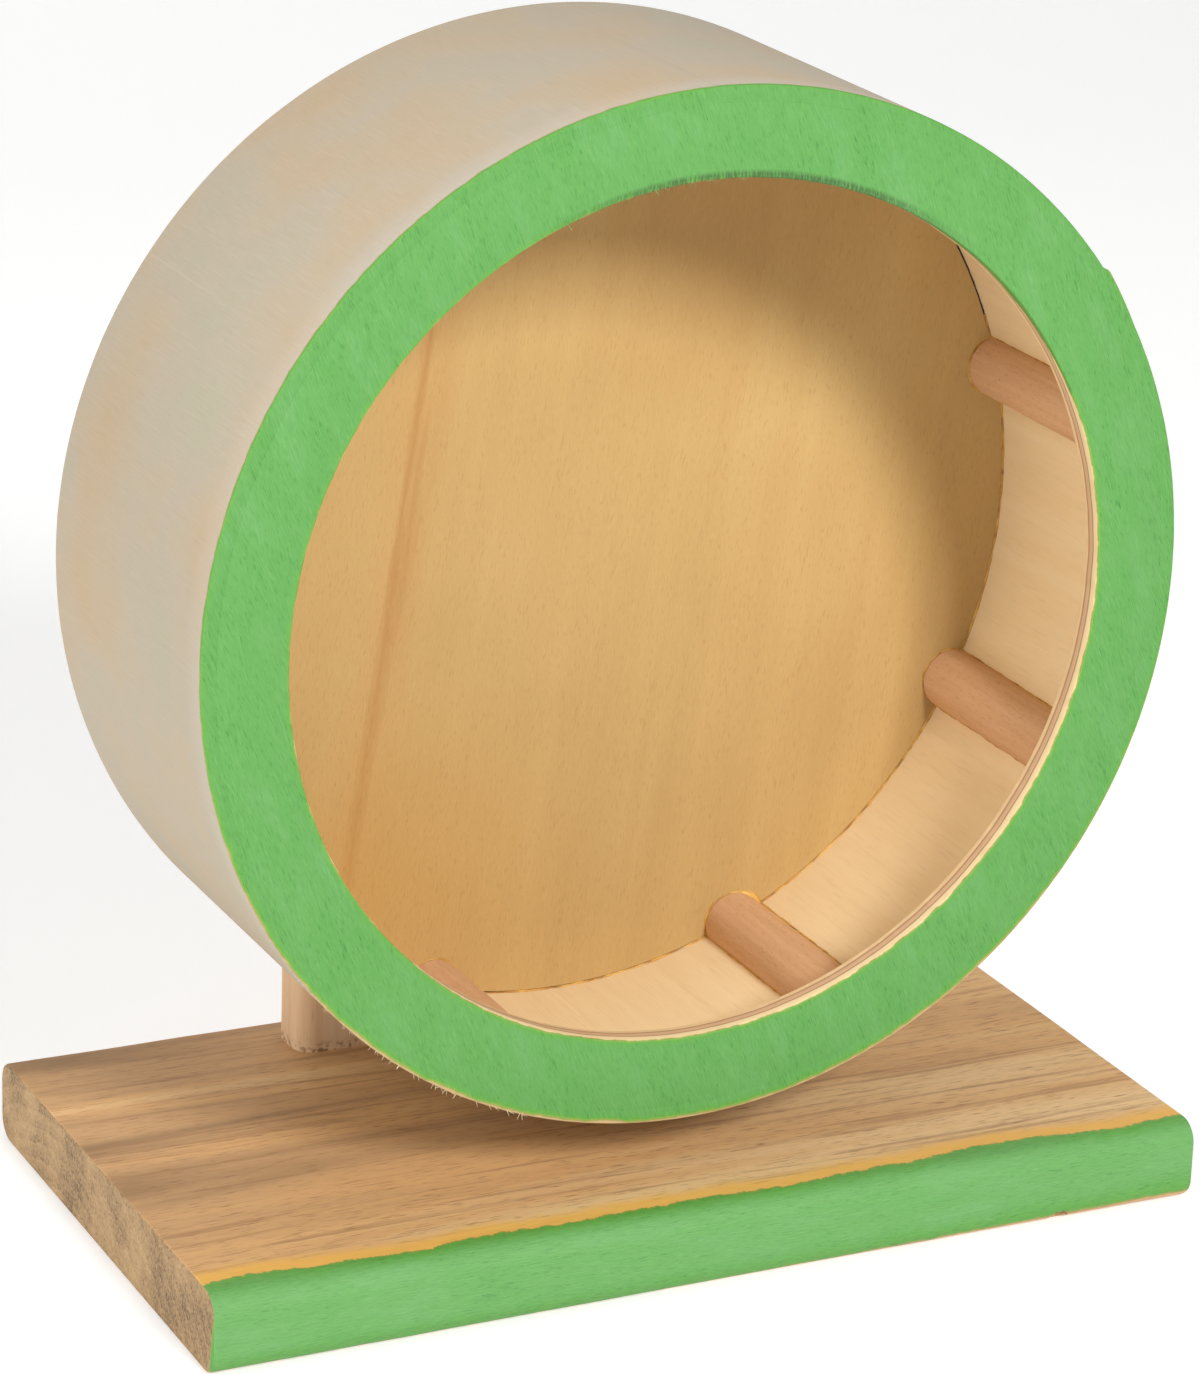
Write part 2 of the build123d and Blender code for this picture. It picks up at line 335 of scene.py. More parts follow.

# %% [markdown]
# ## Apple-green paint
#
# The ring's face and the front of the base were painted by hand with a soft
# brush. Water-based paint raises the fibres of bare wood. Short dark and pale
# strokes that follow the grain stand for them: painted shade and painted
# highlight of the raised fibres. Towards the edges the coat runs thin: first it
# turns a yellower green, and at the very rim the wood shines through yellow. So
# the group wants to know how far inside the coat's edge a point lies, in
# millimetres, and draws the border from that.

# %% Group for the brushed paint
brushed_paint, given = new_group("brushed green paint", {
    "Grain": "Vector",
    "Inside": "Float",
    "Bare": "Color",
    "Thin width": "Float",
}, {"Colour": "Color", "Relief": "Float"})
t = brushed_paint
strokes = add(t, "ShaderNodeGroup", {
    "Place": given["Grain"], "Streak width": 5.0, "Streak length": 17.0,
    "Fleck width": 0.27, "Fleck length": 1.9, "Wander": 2.0}, node_tree=wood_figure)
body = add(t, "ShaderNodeValToRGB", {0: strokes.outputs["Streak"]},
           stops=[(0.30, "559345"), (0.52, "5a954a"), (0.70, "619956")])
edge_of_coat = add(t, "ShaderNodeMapRange", {0: given["Inside"], 1: 0.3, 2: given["Thin width"]})
thin = add(t, "ShaderNodeMix", {0: edge_of_coat, 6: linear("5a9a38"), 7: body}, data_type="RGBA")
patchy = add(
    t, "ShaderNodeMapRange", {0: strokes.outputs["Streak"], 1: 0.38, 2: 0.58, 3: 1.0, 4: 0.4})
# Painted shade and painted highlight of the raised fibres: dark dashes, darker fibre strokes and
# pale ones.
dark = add(t, "ShaderNodeMath", {0: strokes.outputs["Fleck"], 1: patchy}, operation="MULTIPLY")
dashed = add(t, "ShaderNodeMix", {0: dark, 6: thin, 7: linear("387734")}, data_type="RGBA")
fibre_shade_strokes = add(
    t, "ShaderNodeMapRange", {0: strokes.outputs["Fibre"], 1: 0.32, 2: 0.47, 3: 0.5, 4: 0.0})
dashed = add(t, "ShaderNodeMix", {0: fibre_shade_strokes, 6: dashed, 7: linear("45853c")}, data_type="RGBA")
pale = add(t, "ShaderNodeMapRange", {0: strokes.outputs["Fibre"], 1: 0.53, 2: 0.72, 4: 0.55})
fibre_shade_and_highlight = add(t, "ShaderNodeMix", {0: pale, 6: dashed, 7: linear("76a963")}, data_type="RGBA")
glow = add(t, "ShaderNodeMapRange", {0: given["Inside"], 1: 0.1, 2: 0.6})
rubbed = add(t, "ShaderNodeMix", {0: glow, 6: linear("8a9a45"), 7: fibre_shade_and_highlight}, data_type="RGBA")
coat = add(t, "ShaderNodeMapRange", {0: given["Inside"], 1: -0.12, 2: 0.12})
colour = add(t, "ShaderNodeMix", {0: coat, 6: given["Bare"], 7: rubbed}, data_type="RGBA")
bristle = add(t, "ShaderNodeMath", {0: strokes.outputs["Fibre"], 1: coat}, operation="MULTIPLY")
film = add(t, "ShaderNodeMath", {0: coat, 1: bristle}, operation="ADD")
add(t, "NodeGroupOutput", {"Colour": colour, "Relief": film})
print("brushed green paint:", len(t.nodes), "nodes")

# %% [markdown]
# ## Growing a piece with Geometry Nodes
#
# Anything that follows a rule is grown by a node tree instead of being modelled
# by hand: the tree's named inputs are its sizes. Two helpers do the routine
# work. One starts a tree with its inputs. The other puts the tree on an empty
# object, sets each input by its socket's identifier, and keeps the evaluated
# result as a plain mesh, because instances and modifiers don't survive an
# export. Merging doubles and turning the normals outwards tidies the sweep.

# %% Start a tree, and grow a mesh from it
def new_tree(name, inputs):
    """A Geometry Nodes tree with these inputs, and the outputs of its input node."""
    tree = bpy.data.node_groups.new(name, "GeometryNodeTree")
    tree.is_modifier = True
    for label, kind in inputs.items():
        tree.interface.new_socket(label, in_out="INPUT", socket_type="NodeSocket" + kind)
    tree.interface.new_socket("Geometry", in_out="OUTPUT", socket_type="NodeSocketGeometry")
    return tree, tree.nodes.new("NodeGroupInput").outputs


def tidy(mesh, smooth_below):
    """Merges doubles, turns the faces outwards and shades smooth, except over sharp corners."""
    shape = bmesh.new()
    shape.from_mesh(mesh)
    bmesh.ops.remove_doubles(shape, verts=shape.verts, dist=2e-6)
    bmesh.ops.dissolve_degenerate(shape, edges=shape.edges, dist=1e-6)
    bmesh.ops.recalc_face_normals(shape, faces=shape.faces)
    shape.to_mesh(mesh)
    shape.free()
    mesh.shade_smooth()
    mesh.set_sharp_from_angle(angle=math.radians(smooth_below))


def grow(tree, name, sizes, smooth_below=12.0):
    """Runs the tree once and returns an object with the plain mesh it made."""
    piece = bpy.data.objects.new(name, bpy.data.meshes.new(name))
    scene.collection.objects.link(piece)
    modifier = piece.modifiers.new(tree.name, "NODES")
    modifier.node_group = tree
    for item in tree.interface.items_tree:
        if item.in_out == "INPUT" and item.name in sizes:
            modifier[item.identifier] = sizes[item.name]
    depsgraph = bpy.context.evaluated_depsgraph_get()
    grown = bpy.data.meshes.new_from_object(piece.evaluated_get(depsgraph))
    piece.modifiers.remove(modifier)
    piece.data = grown
    grown.name = name
    tidy(grown, smooth_below)
    return piece


def belongs(piece, body, *nodes, slot=None):
    """The piece rides on the body and stands for these CAD nodes."""
    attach(piece, body)
    if nodes:
        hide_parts(*nodes)
    print(piece.name, "rides on", body + ",", len(piece.data.polygons), "faces")


# %% [markdown]
# ## Hoops
#
# The front ring, the rim, the hub block and the washers are all hoops: a
# rectangle swept round the axle. The tree draws a circle and a rectangle,
# rounds each corner of the rectangle by its own arris, sweeps one along the
# other and tips the hoop on edge. Sweeping works at any size, and a sharp
# corner that a tool or sandpaper has broken catches the light as it should.
#
# The rim is one strip of thin plywood bent round until its ends overlap. Where
# the outer end lies on the inner one its tip stands a little proud, so the
# outer face rises slowly towards the tip and drops back over it.

# %% Tree for a hoop
hoop, given = new_tree("hoop round the axle", {
    "Inner radius": "Float",
    "Outer radius": "Float",
    "Front": "Float",
    "Back": "Float",
    "Axle height": "Float",
    "Outer back arris": "Float",
    "Inner back arris": "Float",
    "Inner front arris": "Float",
    "Outer front arris": "Float",
    "Steps": "Int",
    "Lap lift": "Float",
    "Lap tip": "Float",
    "Lap blend": "Float",
    "Wobble": "Float",
    "Finish": "Material",
})
t = hoop
wall = add(
    t, "ShaderNodeMath", {0: given["Outer radius"], 1: given["Inner radius"]}, operation="SUBTRACT")
both = add(
    t, "ShaderNodeMath", {0: given["Outer radius"], 1: given["Inner radius"]}, operation="ADD")
middle = add(t, "ShaderNodeMath", {0: both, 1: 0.5}, operation="MULTIPLY")
width = add(t, "ShaderNodeMath", {0: given["Back"], 1: given["Front"]}, operation="SUBTRACT")
both = add(t, "ShaderNodeMath", {0: given["Back"], 1: given["Front"]}, operation="ADD")
halfway = add(t, "ShaderNodeMath", {0: both, 1: 0.5}, operation="MULTIPLY")
circle = add(
    t, "GeometryNodeCurvePrimitiveCircle", {"Resolution": given["Steps"], "Radius": middle})
section = add(t, "GeometryNodeCurvePrimitiveQuadrilateral", {"Width": wall, "Height": width})
corner = t.nodes.new("GeometryNodeIndexSwitch")
corner.data_type = "FLOAT"
while len(corner.index_switch_items) < 4:
    corner.index_switch_items.new()
t.links.new(add(t, "GeometryNodeInputIndex").outputs[0], corner.inputs["Index"])
for number, arris in enumerate(("Outer back", "Inner back", "Inner front", "Outer front")):
    t.links.new(given[arris + " arris"], corner.inputs[number + 1])
eased = add(t, "GeometryNodeFilletCurve", {0: section, "Radius": corner, "Count": 4}, mode="POLY")
swept = add(t, "GeometryNodeCurveToMesh", {"Curve": circle, "Profile Curve": eased})
stand = add(t, "ShaderNodeCombineXYZ", {"Y": halfway, "Z": given["Axle height"]})
tipped = add(t, "GeometryNodeTransform", {
    "Geometry": swept, "Translation": stand, "Rotation": (math.radians(90), 0.0, 0.0)})

spot = add(t, "ShaderNodeSeparateXYZ", {0: add(t, "GeometryNodeInputPosition")}).outputs
up = add(t, "ShaderNodeMath", {0: spot["Z"], 1: given["Axle height"]}, operation="SUBTRACT")
outward = add(t, "ShaderNodeCombineXYZ", {"X": spot["X"], "Z": up})
reach = add(t, "ShaderNodeVectorMath", {0: outward}, operation="LENGTH").outputs["Value"]
outward = add(t, "ShaderNodeVectorMath", {0: outward}, operation="NORMALIZE")
angle = add(t, "ShaderNodeMath", {0: up, 1: spot["X"]}, operation="ARCTAN2")
before = add(
    t, "ShaderNodeMath", {0: given["Lap tip"], 1: given["Lap blend"]}, operation="SUBTRACT")
after = add(t, "ShaderNodeMath", {0: given["Lap tip"], 1: math.radians(0.7)}, operation="ADD")
rise = add(t, "ShaderNodeMapRange", {0: angle, 1: before, 2: given["Lap tip"]})
drop = add(t, "ShaderNodeMapRange", {0: angle, 1: given["Lap tip"], 2: after, 3: 1.0, 4: 0.0})
skin = add(t, "ShaderNodeMapRange", {0: reach, 1: given["Inner radius"], 2: given["Outer radius"]})
lift = add(t, "ShaderNodeMath", {0: rise, 1: drop}, operation="MULTIPLY")
lift = add(t, "ShaderNodeMath", {0: lift, 1: skin}, operation="MULTIPLY")
lift = add(t, "ShaderNodeMath", {0: lift, 1: given["Lap lift"]}, operation="MULTIPLY")
uneven = add(t, "ShaderNodeTexNoise", {"Scale": 180.0, "Detail": 4.0, "Roughness": 0.65})
uneven = add(t, "ShaderNodeMath", {0: uneven.outputs[0], 1: 0.5}, operation="SUBTRACT")
uneven = add(t, "ShaderNodeMath", {0: uneven, 1: given["Wobble"]}, operation="MULTIPLY")
lift = add(t, "ShaderNodeMath", {0: lift, 1: uneven}, operation="ADD")
push = add(t, "ShaderNodeVectorMath", {0: outward, "Scale": lift}, operation="SCALE")
shaped = add(t, "GeometryNodeSetPosition", {"Geometry": tipped, "Offset": push})
real = add(t, "GeometryNodeRealizeInstances", {0: shaped})
dressed = add(t, "GeometryNodeSetMaterial", {"Geometry": real, "Material": given["Finish"]})
add(t, "NodeGroupOutput", {"Geometry": dressed})
print("hoop tree:", len(t.nodes), "nodes")

# %% [markdown]
# ## The coat on the wheel's face
#
# The brush covered the ring and the rim's front edge in one go, so the seam
# between them is gone and one rule serves both. The coat reaches the outer
# corner, except along the bottom, where it was rubbed off. At the ring's hole
# it ends on the corner, except at the upper right: there it ran over the edge.
# Subtracting the depth behind the face makes it stop at the front elsewhere.

# %% Group for the edge of the coat
coat_edge = new_group("edge of the wheel's coat", {}, {"Inside": "Float"})[0]
t = coat_edge
wheel_place = add(t, "ShaderNodeGroup", {}, node_tree=on_wheel).outputs
here = add(t, "ShaderNodeTexCoord").outputs["Object"]
hand = add(
    t, "ShaderNodeTexNoise", {"Vector": here, "Scale": 260.0, "Detail": 4.0, "Roughness": 0.6})
shaky = add(t, "ShaderNodeMapRange", {0: hand.outputs[0], 1: 0.25, 2: 0.75, 3: -0.35, 4: 0.35})
level = add(t, "ShaderNodeMath", {0: wheel_place["Angle"]}, operation="SINE")
worn = add(t, "ShaderNodeMapRange", {0: level, 1: -0.75, 2: 0.1, 3: 0.45, 4: -0.75})
to_corner = add(
    t, "ShaderNodeMath", {0: 1000 * wheel_radius, 1: wheel_place["Radius"]}, operation="SUBTRACT")
to_corner = add(t, "ShaderNodeMath", {0: to_corner, 1: worn}, operation="SUBTRACT")
to_hole = add(
    t, "ShaderNodeMath", {0: wheel_place["Radius"], 1: 1000 * opening_radius - 0.15},
    operation="SUBTRACT")
off = add(t, "ShaderNodeMath", {0: wheel_place["Angle"], 1: math.radians(55)}, operation="SUBTRACT")
off = add(t, "ShaderNodeMath", {0: off}, operation="ABSOLUTE")
run = add(
    t, "ShaderNodeMapRange", {0: off, 1: math.radians(12), 2: math.radians(34), 3: 2.6, 4: 0.0})
to_hole = add(t, "ShaderNodeMath", {0: to_hole, 1: run}, operation="ADD")
nearer = add(t, "ShaderNodeMath", {0: to_corner, 1: to_hole}, operation="MINIMUM")
nearer = add(t, "ShaderNodeMath", {0: nearer, 1: wheel_place["Depth"]}, operation="SUBTRACT")
nearer = add(t, "ShaderNodeMath", {0: nearer, 1: shaky}, operation="ADD")
add(t, "NodeGroupOutput", {"Inside": nearer})
print("edge of the wheel's coat:", len(t.nodes), "nodes")

# %% [markdown]
# ## Painted birch plywood
#
# The front ring is 5 mm plywood: three plies, glued with their grain crossed.
# Round the hole the saw has cut through them, so the edge shows a cream ply, a
# browner one seen from its end and another cream one, with dark glue between.
# The edge's colour depends only on the depth behind the face, so it is a ramp
# along that depth. The face's grain leans 21 degrees from upright. Over the top
# of the hole the saw tore the face, and short dark strokes across the edge show
# that stubble together with painted shade under the hole's top edge: noise
# 0.4 mm wide and 2 mm long, within 1.7 mm of the hole.

# %% Material: painted birch plywood ring
ring_finish, t, shader, here = new_finish("painted_birch_plywood_ring")
grain = add(t, "ShaderNodeMapping", {"Vector": here, "Rotation": (0.0, math.radians(111), 0.0)})
wheel_place = add(t, "ShaderNodeGroup", {}, node_tree=on_wheel).outputs
cut = add(t, "ShaderNodeTexNoise", {"Vector": here, "Scale": 120.0, "Detail": 3.0})
shift = add(t, "ShaderNodeMapRange", {0: cut.outputs[0], 3: -0.25, 4: 0.25})
layer = add(t, "ShaderNodeMath", {0: wheel_place["Depth"], 1: shift}, operation="ADD")
layer = add(
    t, "ShaderNodeMath", {0: layer, 1: 1000 * (ring_high.y - ring_front)}, operation="DIVIDE")
plies = add(t, "ShaderNodeValToRGB", {0: layer}, stops=[
    (0.0, "ecd8a6"), (0.34, "e4cfa4"), (0.38, "a07f62"), (0.43, "b99877"),
    (0.47, "d0b08c"), (0.66, "c9a583"), (0.70, "9a7659"), (0.74, "c09d78"), (0.78, "e2c699")])
edge = add(t, "ShaderNodeGroup", {}, node_tree=coat_edge)
paint = add(t, "ShaderNodeGroup", {
    "Grain": grain, "Inside": edge, "Bare": plies, "Thin width": 1.6}, node_tree=brushed_paint)
# Torn stubble and painted shade: dark strokes where the hole's top edge lies in shade.
stubble_and_shade = add(t, "ShaderNodeMapping", {"Vector": here, "Scale": (2500.0, 100.0, 500.0)})
stubble_and_shade = add(t, "ShaderNodeTexNoise", {"Vector": stubble_and_shade, "Scale": 1.0, "Detail": 2.0})
stubble_and_shade = add(t, "ShaderNodeMapRange", {0: stubble_and_shade.outputs[0], 1: 0.36, 2: 0.56, 3: 0.2, 4: 0.85})
from_hole = add(
    t, "ShaderNodeMath", {0: wheel_place["Radius"], 1: 1000 * opening_radius}, operation="SUBTRACT")
by_hole = add(t, "ShaderNodeMapRange", {0: from_hole, 1: 0.9, 2: 1.7, 3: 1.0, 4: 0.0})
from_top = add(
    t, "ShaderNodeMath", {0: wheel_place["Angle"], 1: math.radians(84)}, operation="SUBTRACT")
from_top = add(t, "ShaderNodeMath", {0: from_top}, operation="ABSOLUTE")
by_top = add(t, "ShaderNodeMapRange", {
    0: from_top, 1: math.radians(14), 2: math.radians(34), 3: 1.0, 4: 0.0})
torn = add(t, "ShaderNodeMath", {0: by_hole, 1: by_top}, operation="MULTIPLY")
torn = add(t, "ShaderNodeMath", {0: torn, 1: stubble_and_shade}, operation="MULTIPLY")
face = add(
    t, "ShaderNodeMix", {0: torn, 6: paint.outputs["Colour"], 7: linear("38552d")},
    data_type="RGBA")
t.links.new(face.outputs[2], shader.inputs["Base Color"])
dull = add(t, "ShaderNodeMapRange", {0: paint.outputs["Relief"], 1: 0.0, 2: 2.0, 3: 0.75, 4: 0.48})
t.links.new(dull.outputs[0], shader.inputs["Roughness"])
dents = add(
    t, "ShaderNodeBump", {"Strength": 0.5, "Distance": 0.00012, "Height": paint.outputs["Relief"]})
t.links.new(dents.outputs[0], shader.inputs["Normal"])
shader.inputs["Specular IOR Level"].default_value = 0.35
print("painted ring finish:", len(t.nodes), "nodes")

# %% Front ring
front_ring = grow(hoop, "front_ring_plywood", {
    "Inner radius": opening_radius, "Outer radius": rim_inside,
    "Front": ring_front, "Back": ring_high.y, "Axle height": axle_height,
    "Outer back arris": 0.05 * mm, "Inner back arris": 0.3 * mm,
    "Inner front arris": 0.45 * mm, "Outer front arris": 0.02 * mm,
    "Steps": 900, "Wobble": 0.22 * mm, "Finish": ring_finish,
})
belongs(front_ring, "wheel", "front_ring", slot="painted_ring_plywood")

# %% [markdown]
# ## Bent rim plywood
#
# The rim is 3 mm birch plywood, the kind that bends because its outer plies
# run across the strip. Outside it has greyed a little, in soft blotches, and
# inside it is warmer and cleaner. Its back edge shows the plies, and its front
# corner, where the coat is worn off, is brown from handling. The grain runs
# parallel to the axle on both faces.

# %% Material: bent birch plywood rim
rim_finish, t, shader, here = new_finish("bent_birch_plywood_rim")
grain = add(t, "ShaderNodeMapping", {"Vector": here, "Rotation": (0.0, 0.0, math.radians(-90))})
figure = add(t, "ShaderNodeGroup", {
    "Place": grain, "Streak width": 5.0, "Streak length": 70.0,
    "Fleck width": 0.5, "Fleck length": 7.0, "Wander": 2.0}, node_tree=wood_figure).outputs
wheel_place = add(t, "ShaderNodeGroup", {}, node_tree=on_wheel).outputs
cloud = add(
    t, "ShaderNodeTexNoise", {"Vector": here, "Scale": 30.0, "Detail": 2.0, "Roughness": 0.5})
outside = add(t, "ShaderNodeValToRGB", {0: cloud.outputs[0]},
              stops=[(0.32, "aea690"), (0.46, "b2a591"), (0.56, "b5a48b"), (0.70, "b7a184")])
inside = add(t, "ShaderNodeValToRGB", {0: figure["Streak"]},
             stops=[(0.25, "eed4a6"), (0.5, "f3daae"), (0.75, "f6e0b7")])
by_the_edge = add(
    t, "ShaderNodeMapRange", {0: wheel_place["Depth"], 1: 0.5, 2: 8.0, 3: 0.3, 4: 0.0})
outside = add(
    t, "ShaderNodeMix", {0: by_the_edge, 6: outside, 7: linear("c8c0b6")}, data_type="RGBA")
handled = add(t, "ShaderNodeMapRange", {0: wheel_place["Depth"], 1: 0.1, 2: 0.7, 3: 0.75, 4: 0.0})
outside = add(t, "ShaderNodeMix", {0: handled, 6: outside, 7: linear("bd9c62")}, data_type="RGBA")
skin_mm = 1000 * (rim_inside + wheel_radius) / 2 + 0.5
skin = add(t, "ShaderNodeMapRange", {0: wheel_place["Radius"], 1: skin_mm - 0.1, 2: skin_mm + 0.1})
bare = add(t, "ShaderNodeMix", {0: skin, 6: inside, 7: outside}, data_type="RGBA")
layer = add(t, "ShaderNodeMapRange", {
    0: wheel_place["Radius"], 1: 1000 * rim_inside, 2: 1000 * wheel_radius})
plies = add(t, "ShaderNodeValToRGB", {0: layer}, stops=[
    (0.0, "e4c797"), (0.30, "e0c190"), (0.35, "91694c"), (0.42, "b98f6d"),
    (0.60, "b98f6d"), (0.66, "91694c"), (0.72, "dcc09a"), (1.0, "d0b793")])
rear_mm = 1000 * (rim_high.y - ring_front)
rear = add(t, "ShaderNodeMapRange", {0: wheel_place["Depth"], 1: rear_mm - 0.3, 2: rear_mm - 0.1})
bare = add(t, "ShaderNodeMix", {0: rear, 6: bare, 7: plies}, data_type="RGBA")
mark = add(t, "ShaderNodeMath", {0: figure["Fleck"], 1: 0.12}, operation="MULTIPLY")
bare = add(t, "ShaderNodeMix", {0: mark, 6: bare, 7: linear("a98c6c")}, data_type="RGBA")
light = add(t, "ShaderNodeMapRange", {0: figure["Fibre"], 1: 0.5, 2: 0.8, 4: 0.16})
bare = add(t, "ShaderNodeMix", {0: light, 6: bare, 7: linear("dccfba")}, data_type="RGBA")
face_grain = add(
    t, "ShaderNodeMapping", {"Vector": here, "Rotation": (0.0, math.radians(111), 0.0)})
edge = add(t, "ShaderNodeGroup", {}, node_tree=coat_edge)
paint = add(t, "ShaderNodeGroup", {
    "Grain": face_grain, "Inside": edge, "Bare": bare, "Thin width": 1.6}, node_tree=brushed_paint)
t.links.new(paint.outputs["Colour"], shader.inputs["Base Color"])
dull = add(t, "ShaderNodeMapRange", {0: paint.outputs["Relief"], 1: 0.0, 2: 2.0, 3: 0.78, 4: 0.48})
t.links.new(dull.outputs[0], shader.inputs["Roughness"])
rough = add(t, "ShaderNodeMath", {0: paint.outputs["Relief"], 1: figure["Fibre"]}, operation="ADD")
dents = add(t, "ShaderNodeBump", {"Strength": 0.5, "Distance": 0.00012, "Height": rough})
t.links.new(dents.outputs[0], shader.inputs["Normal"])
shader.inputs["Specular IOR Level"].default_value = 0.3
print("rim finish:", len(t.nodes), "nodes")

# %% Rim band
rim_band = grow(hoop, "rim_band_plywood", {
    "Inner radius": rim_inside, "Outer radius": wheel_radius,
    "Front": rim_low.y, "Back": rim_high.y, "Axle height": axle_height,
    "Outer back arris": 0.4 * mm, "Inner back arris": 0.4 * mm,
    "Inner front arris": 0.02 * mm, "Outer front arris": 0.35 * mm,
    "Steps": 1080, "Lap lift": 0.7 * mm, "Lap tip": math.radians(36.2),
    "Lap blend": math.radians(7.5), "Wobble": 0.1 * mm, "Finish": rim_finish,
})
belongs(rim_band, "wheel", "rim_band", slot="rim_plywood")

# %% [markdown]
# ## Disc of plywood
#
# The disc is the drum's back wall, 5 mm plywood with a warm, honey-coloured
# face. Its grain leans 8 degrees from upright, and a darker, more orange streak
# runs down its left side, as mineral streaks do in birch. The CAD node is a
# true disc already, so it keeps its shape and only gets a finish.

# %% Material: bare birch plywood disc
disc_finish, t, shader, here = new_finish("bare_birch_plywood_disc")
grain = add(t, "ShaderNodeMapping", {"Vector": here, "Rotation": (0.0, math.radians(82), 0.0)})
figure = add(t, "ShaderNodeGroup", {
    "Place": grain, "Streak width": 9.0, "Streak length": 190.0,
    "Fleck width": 0.3, "Fleck length": 1.7, "Wander": 5.0}, node_tree=wood_figure).outputs
cloud = add(t, "ShaderNodeTexNoise", {"Vector": here, "Scale": 17.0, "Detail": 2.0})
body = add(t, "ShaderNodeMath", {0: figure["Streak"], 1: cloud.outputs[0]}, operation="ADD")
body = add(t, "ShaderNodeMath", {0: body, 1: 0.5}, operation="MULTIPLY")
body = add(
    t, "ShaderNodeValToRGB", {0: body},
    stops=[(0.34, "b7955e"), (0.50, "be9c64"), (0.64, "c3a36b")])
print("disc finish: base nodes", len(t.nodes))

# %% [markdown]
# ### The disc's orange streak
#
# The dot product with a level line that leans as the grain does gives how far
# to the right of the axle a point lies. The streak is a band of that distance,
# frayed by the same noise that draws the grain, with a faint orange glow round
# it. A wider orange patch low on the left is painted light, where the main light
# falls into the drum, and a browner one at the upper right is painted shade.

# %% Streak, painted light and shade, flecks and sheen of the disc
wheel_across = add(
    t, "ShaderNodeVectorMath", {0: here, 1: (0.0, 0.0, axle_height)}, operation="SUBTRACT")
wheel_across = add(t, "ShaderNodeVectorMath", {
    0: wheel_across, 1: (1000 * math.cos(math.radians(8)), 0.0, -1000 * math.sin(math.radians(8)))},
    operation="DOT_PRODUCT").outputs["Value"]
frayed = add(t, "ShaderNodeMapRange", {0: figure["Streak"], 3: -5.0, 4: 5.0})
band = add(t, "ShaderNodeMath", {0: wheel_across, 1: frayed}, operation="ADD")
band = add(t, "ShaderNodeMath", {0: band, 1: 35.5}, operation="ADD")
band = add(t, "ShaderNodeMath", {0: band}, operation="ABSOLUTE")
faint = add(t, "ShaderNodeMapRange", {0: band, 1: 0.5, 2: 9.0, 3: 0.28, 4: 0.0})
body = add(t, "ShaderNodeMix", {0: faint, 6: body, 7: linear("bd8c52")}, data_type="RGBA")
band = add(t, "ShaderNodeMapRange", {0: band, 1: 0.1, 2: 1.7, 3: 0.5, 4: 0.0})
body = add(t, "ShaderNodeMix", {0: band, 6: body, 7: linear("a56e34")}, data_type="RGBA")
# Painted light: a warm orange pool low on the left, where the main light falls into the drum.
painted_light_low_left = add(
    t, "ShaderNodeVectorMath", {0: here, 1: (-0.035, disc_low.y, 0.058)}, operation="DISTANCE")
painted_light_low_left = add(
    t, "ShaderNodeMapRange", {0: painted_light_low_left.outputs["Value"], 1: 0.0, 2: 0.045, 3: 0.45, 4: 0.0})
body = add(t, "ShaderNodeMix", {0: painted_light_low_left, 6: body, 7: linear("c99a52")}, data_type="RGBA")
# Painted shade: a browner patch at the upper right stands for the shadow that the ring's top casts
# on the disc.
painted_shade_high_right = add(
    t, "ShaderNodeVectorMath", {0: here, 1: (0.028, disc_low.y, 0.186)}, operation="DISTANCE")
painted_shade_high_right = add(
    t, "ShaderNodeMapRange", {0: painted_shade_high_right.outputs["Value"], 1: 0.006, 2: 0.044, 3: 0.3, 4: 0.0})
body = add(t, "ShaderNodeMix", {0: painted_shade_high_right, 6: body, 7: linear("94662c")}, data_type="RGBA")
mark = add(t, "ShaderNodeMath", {0: figure["Fleck"], 1: 0.35}, operation="MULTIPLY")
body = add(t, "ShaderNodeMix", {0: mark, 6: body, 7: linear("9c7440")}, data_type="RGBA")
light = add(t, "ShaderNodeMapRange", {0: figure["Fibre"], 1: 0.5, 2: 0.75, 4: 0.25})
body = add(t, "ShaderNodeMix", {0: light, 6: body, 7: linear("d8b884")}, data_type="RGBA")
t.links.new(body.outputs[2], shader.inputs["Base Color"])
dull = add(t, "ShaderNodeMapRange", {0: figure["Fibre"], 3: 0.62, 4: 0.8})
t.links.new(dull.outputs[0], shader.inputs["Roughness"])
dents = add(t, "ShaderNodeBump", {"Strength": 0.4, "Distance": 0.0001, "Height": figure["Fibre"]})
t.links.new(dents.outputs[0], shader.inputs["Normal"])
shader.inputs["Specular IOR Level"].default_value = 0.3
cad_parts["back_disc"].data.materials.clear()
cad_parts["back_disc"].data.materials.append(disc_finish)
print("disc finish:", len(t.nodes), "nodes")

# %% [markdown]
# ## Rungs
#
# Nine lengths of half-round beech moulding are glued inside the rim, 40 degrees
# apart. They are all one shape at regular angles, so a tree makes one rung, puts
# a copy at each angle and makes the copies real. The worker who glued them
# wasn't perfect: a seed gives each a small skew. Sanding has rounded their ends
# and left them slightly uneven.
#
# Each rung sits in a bead of glue that was squeezed out along its edges and
# round its end. The bead is a curve of the same outline, whose thickness comes
# from noise after the copies are real, so that no two beads are alike. One bead
# was never wiped off, and the tree makes it heavier.

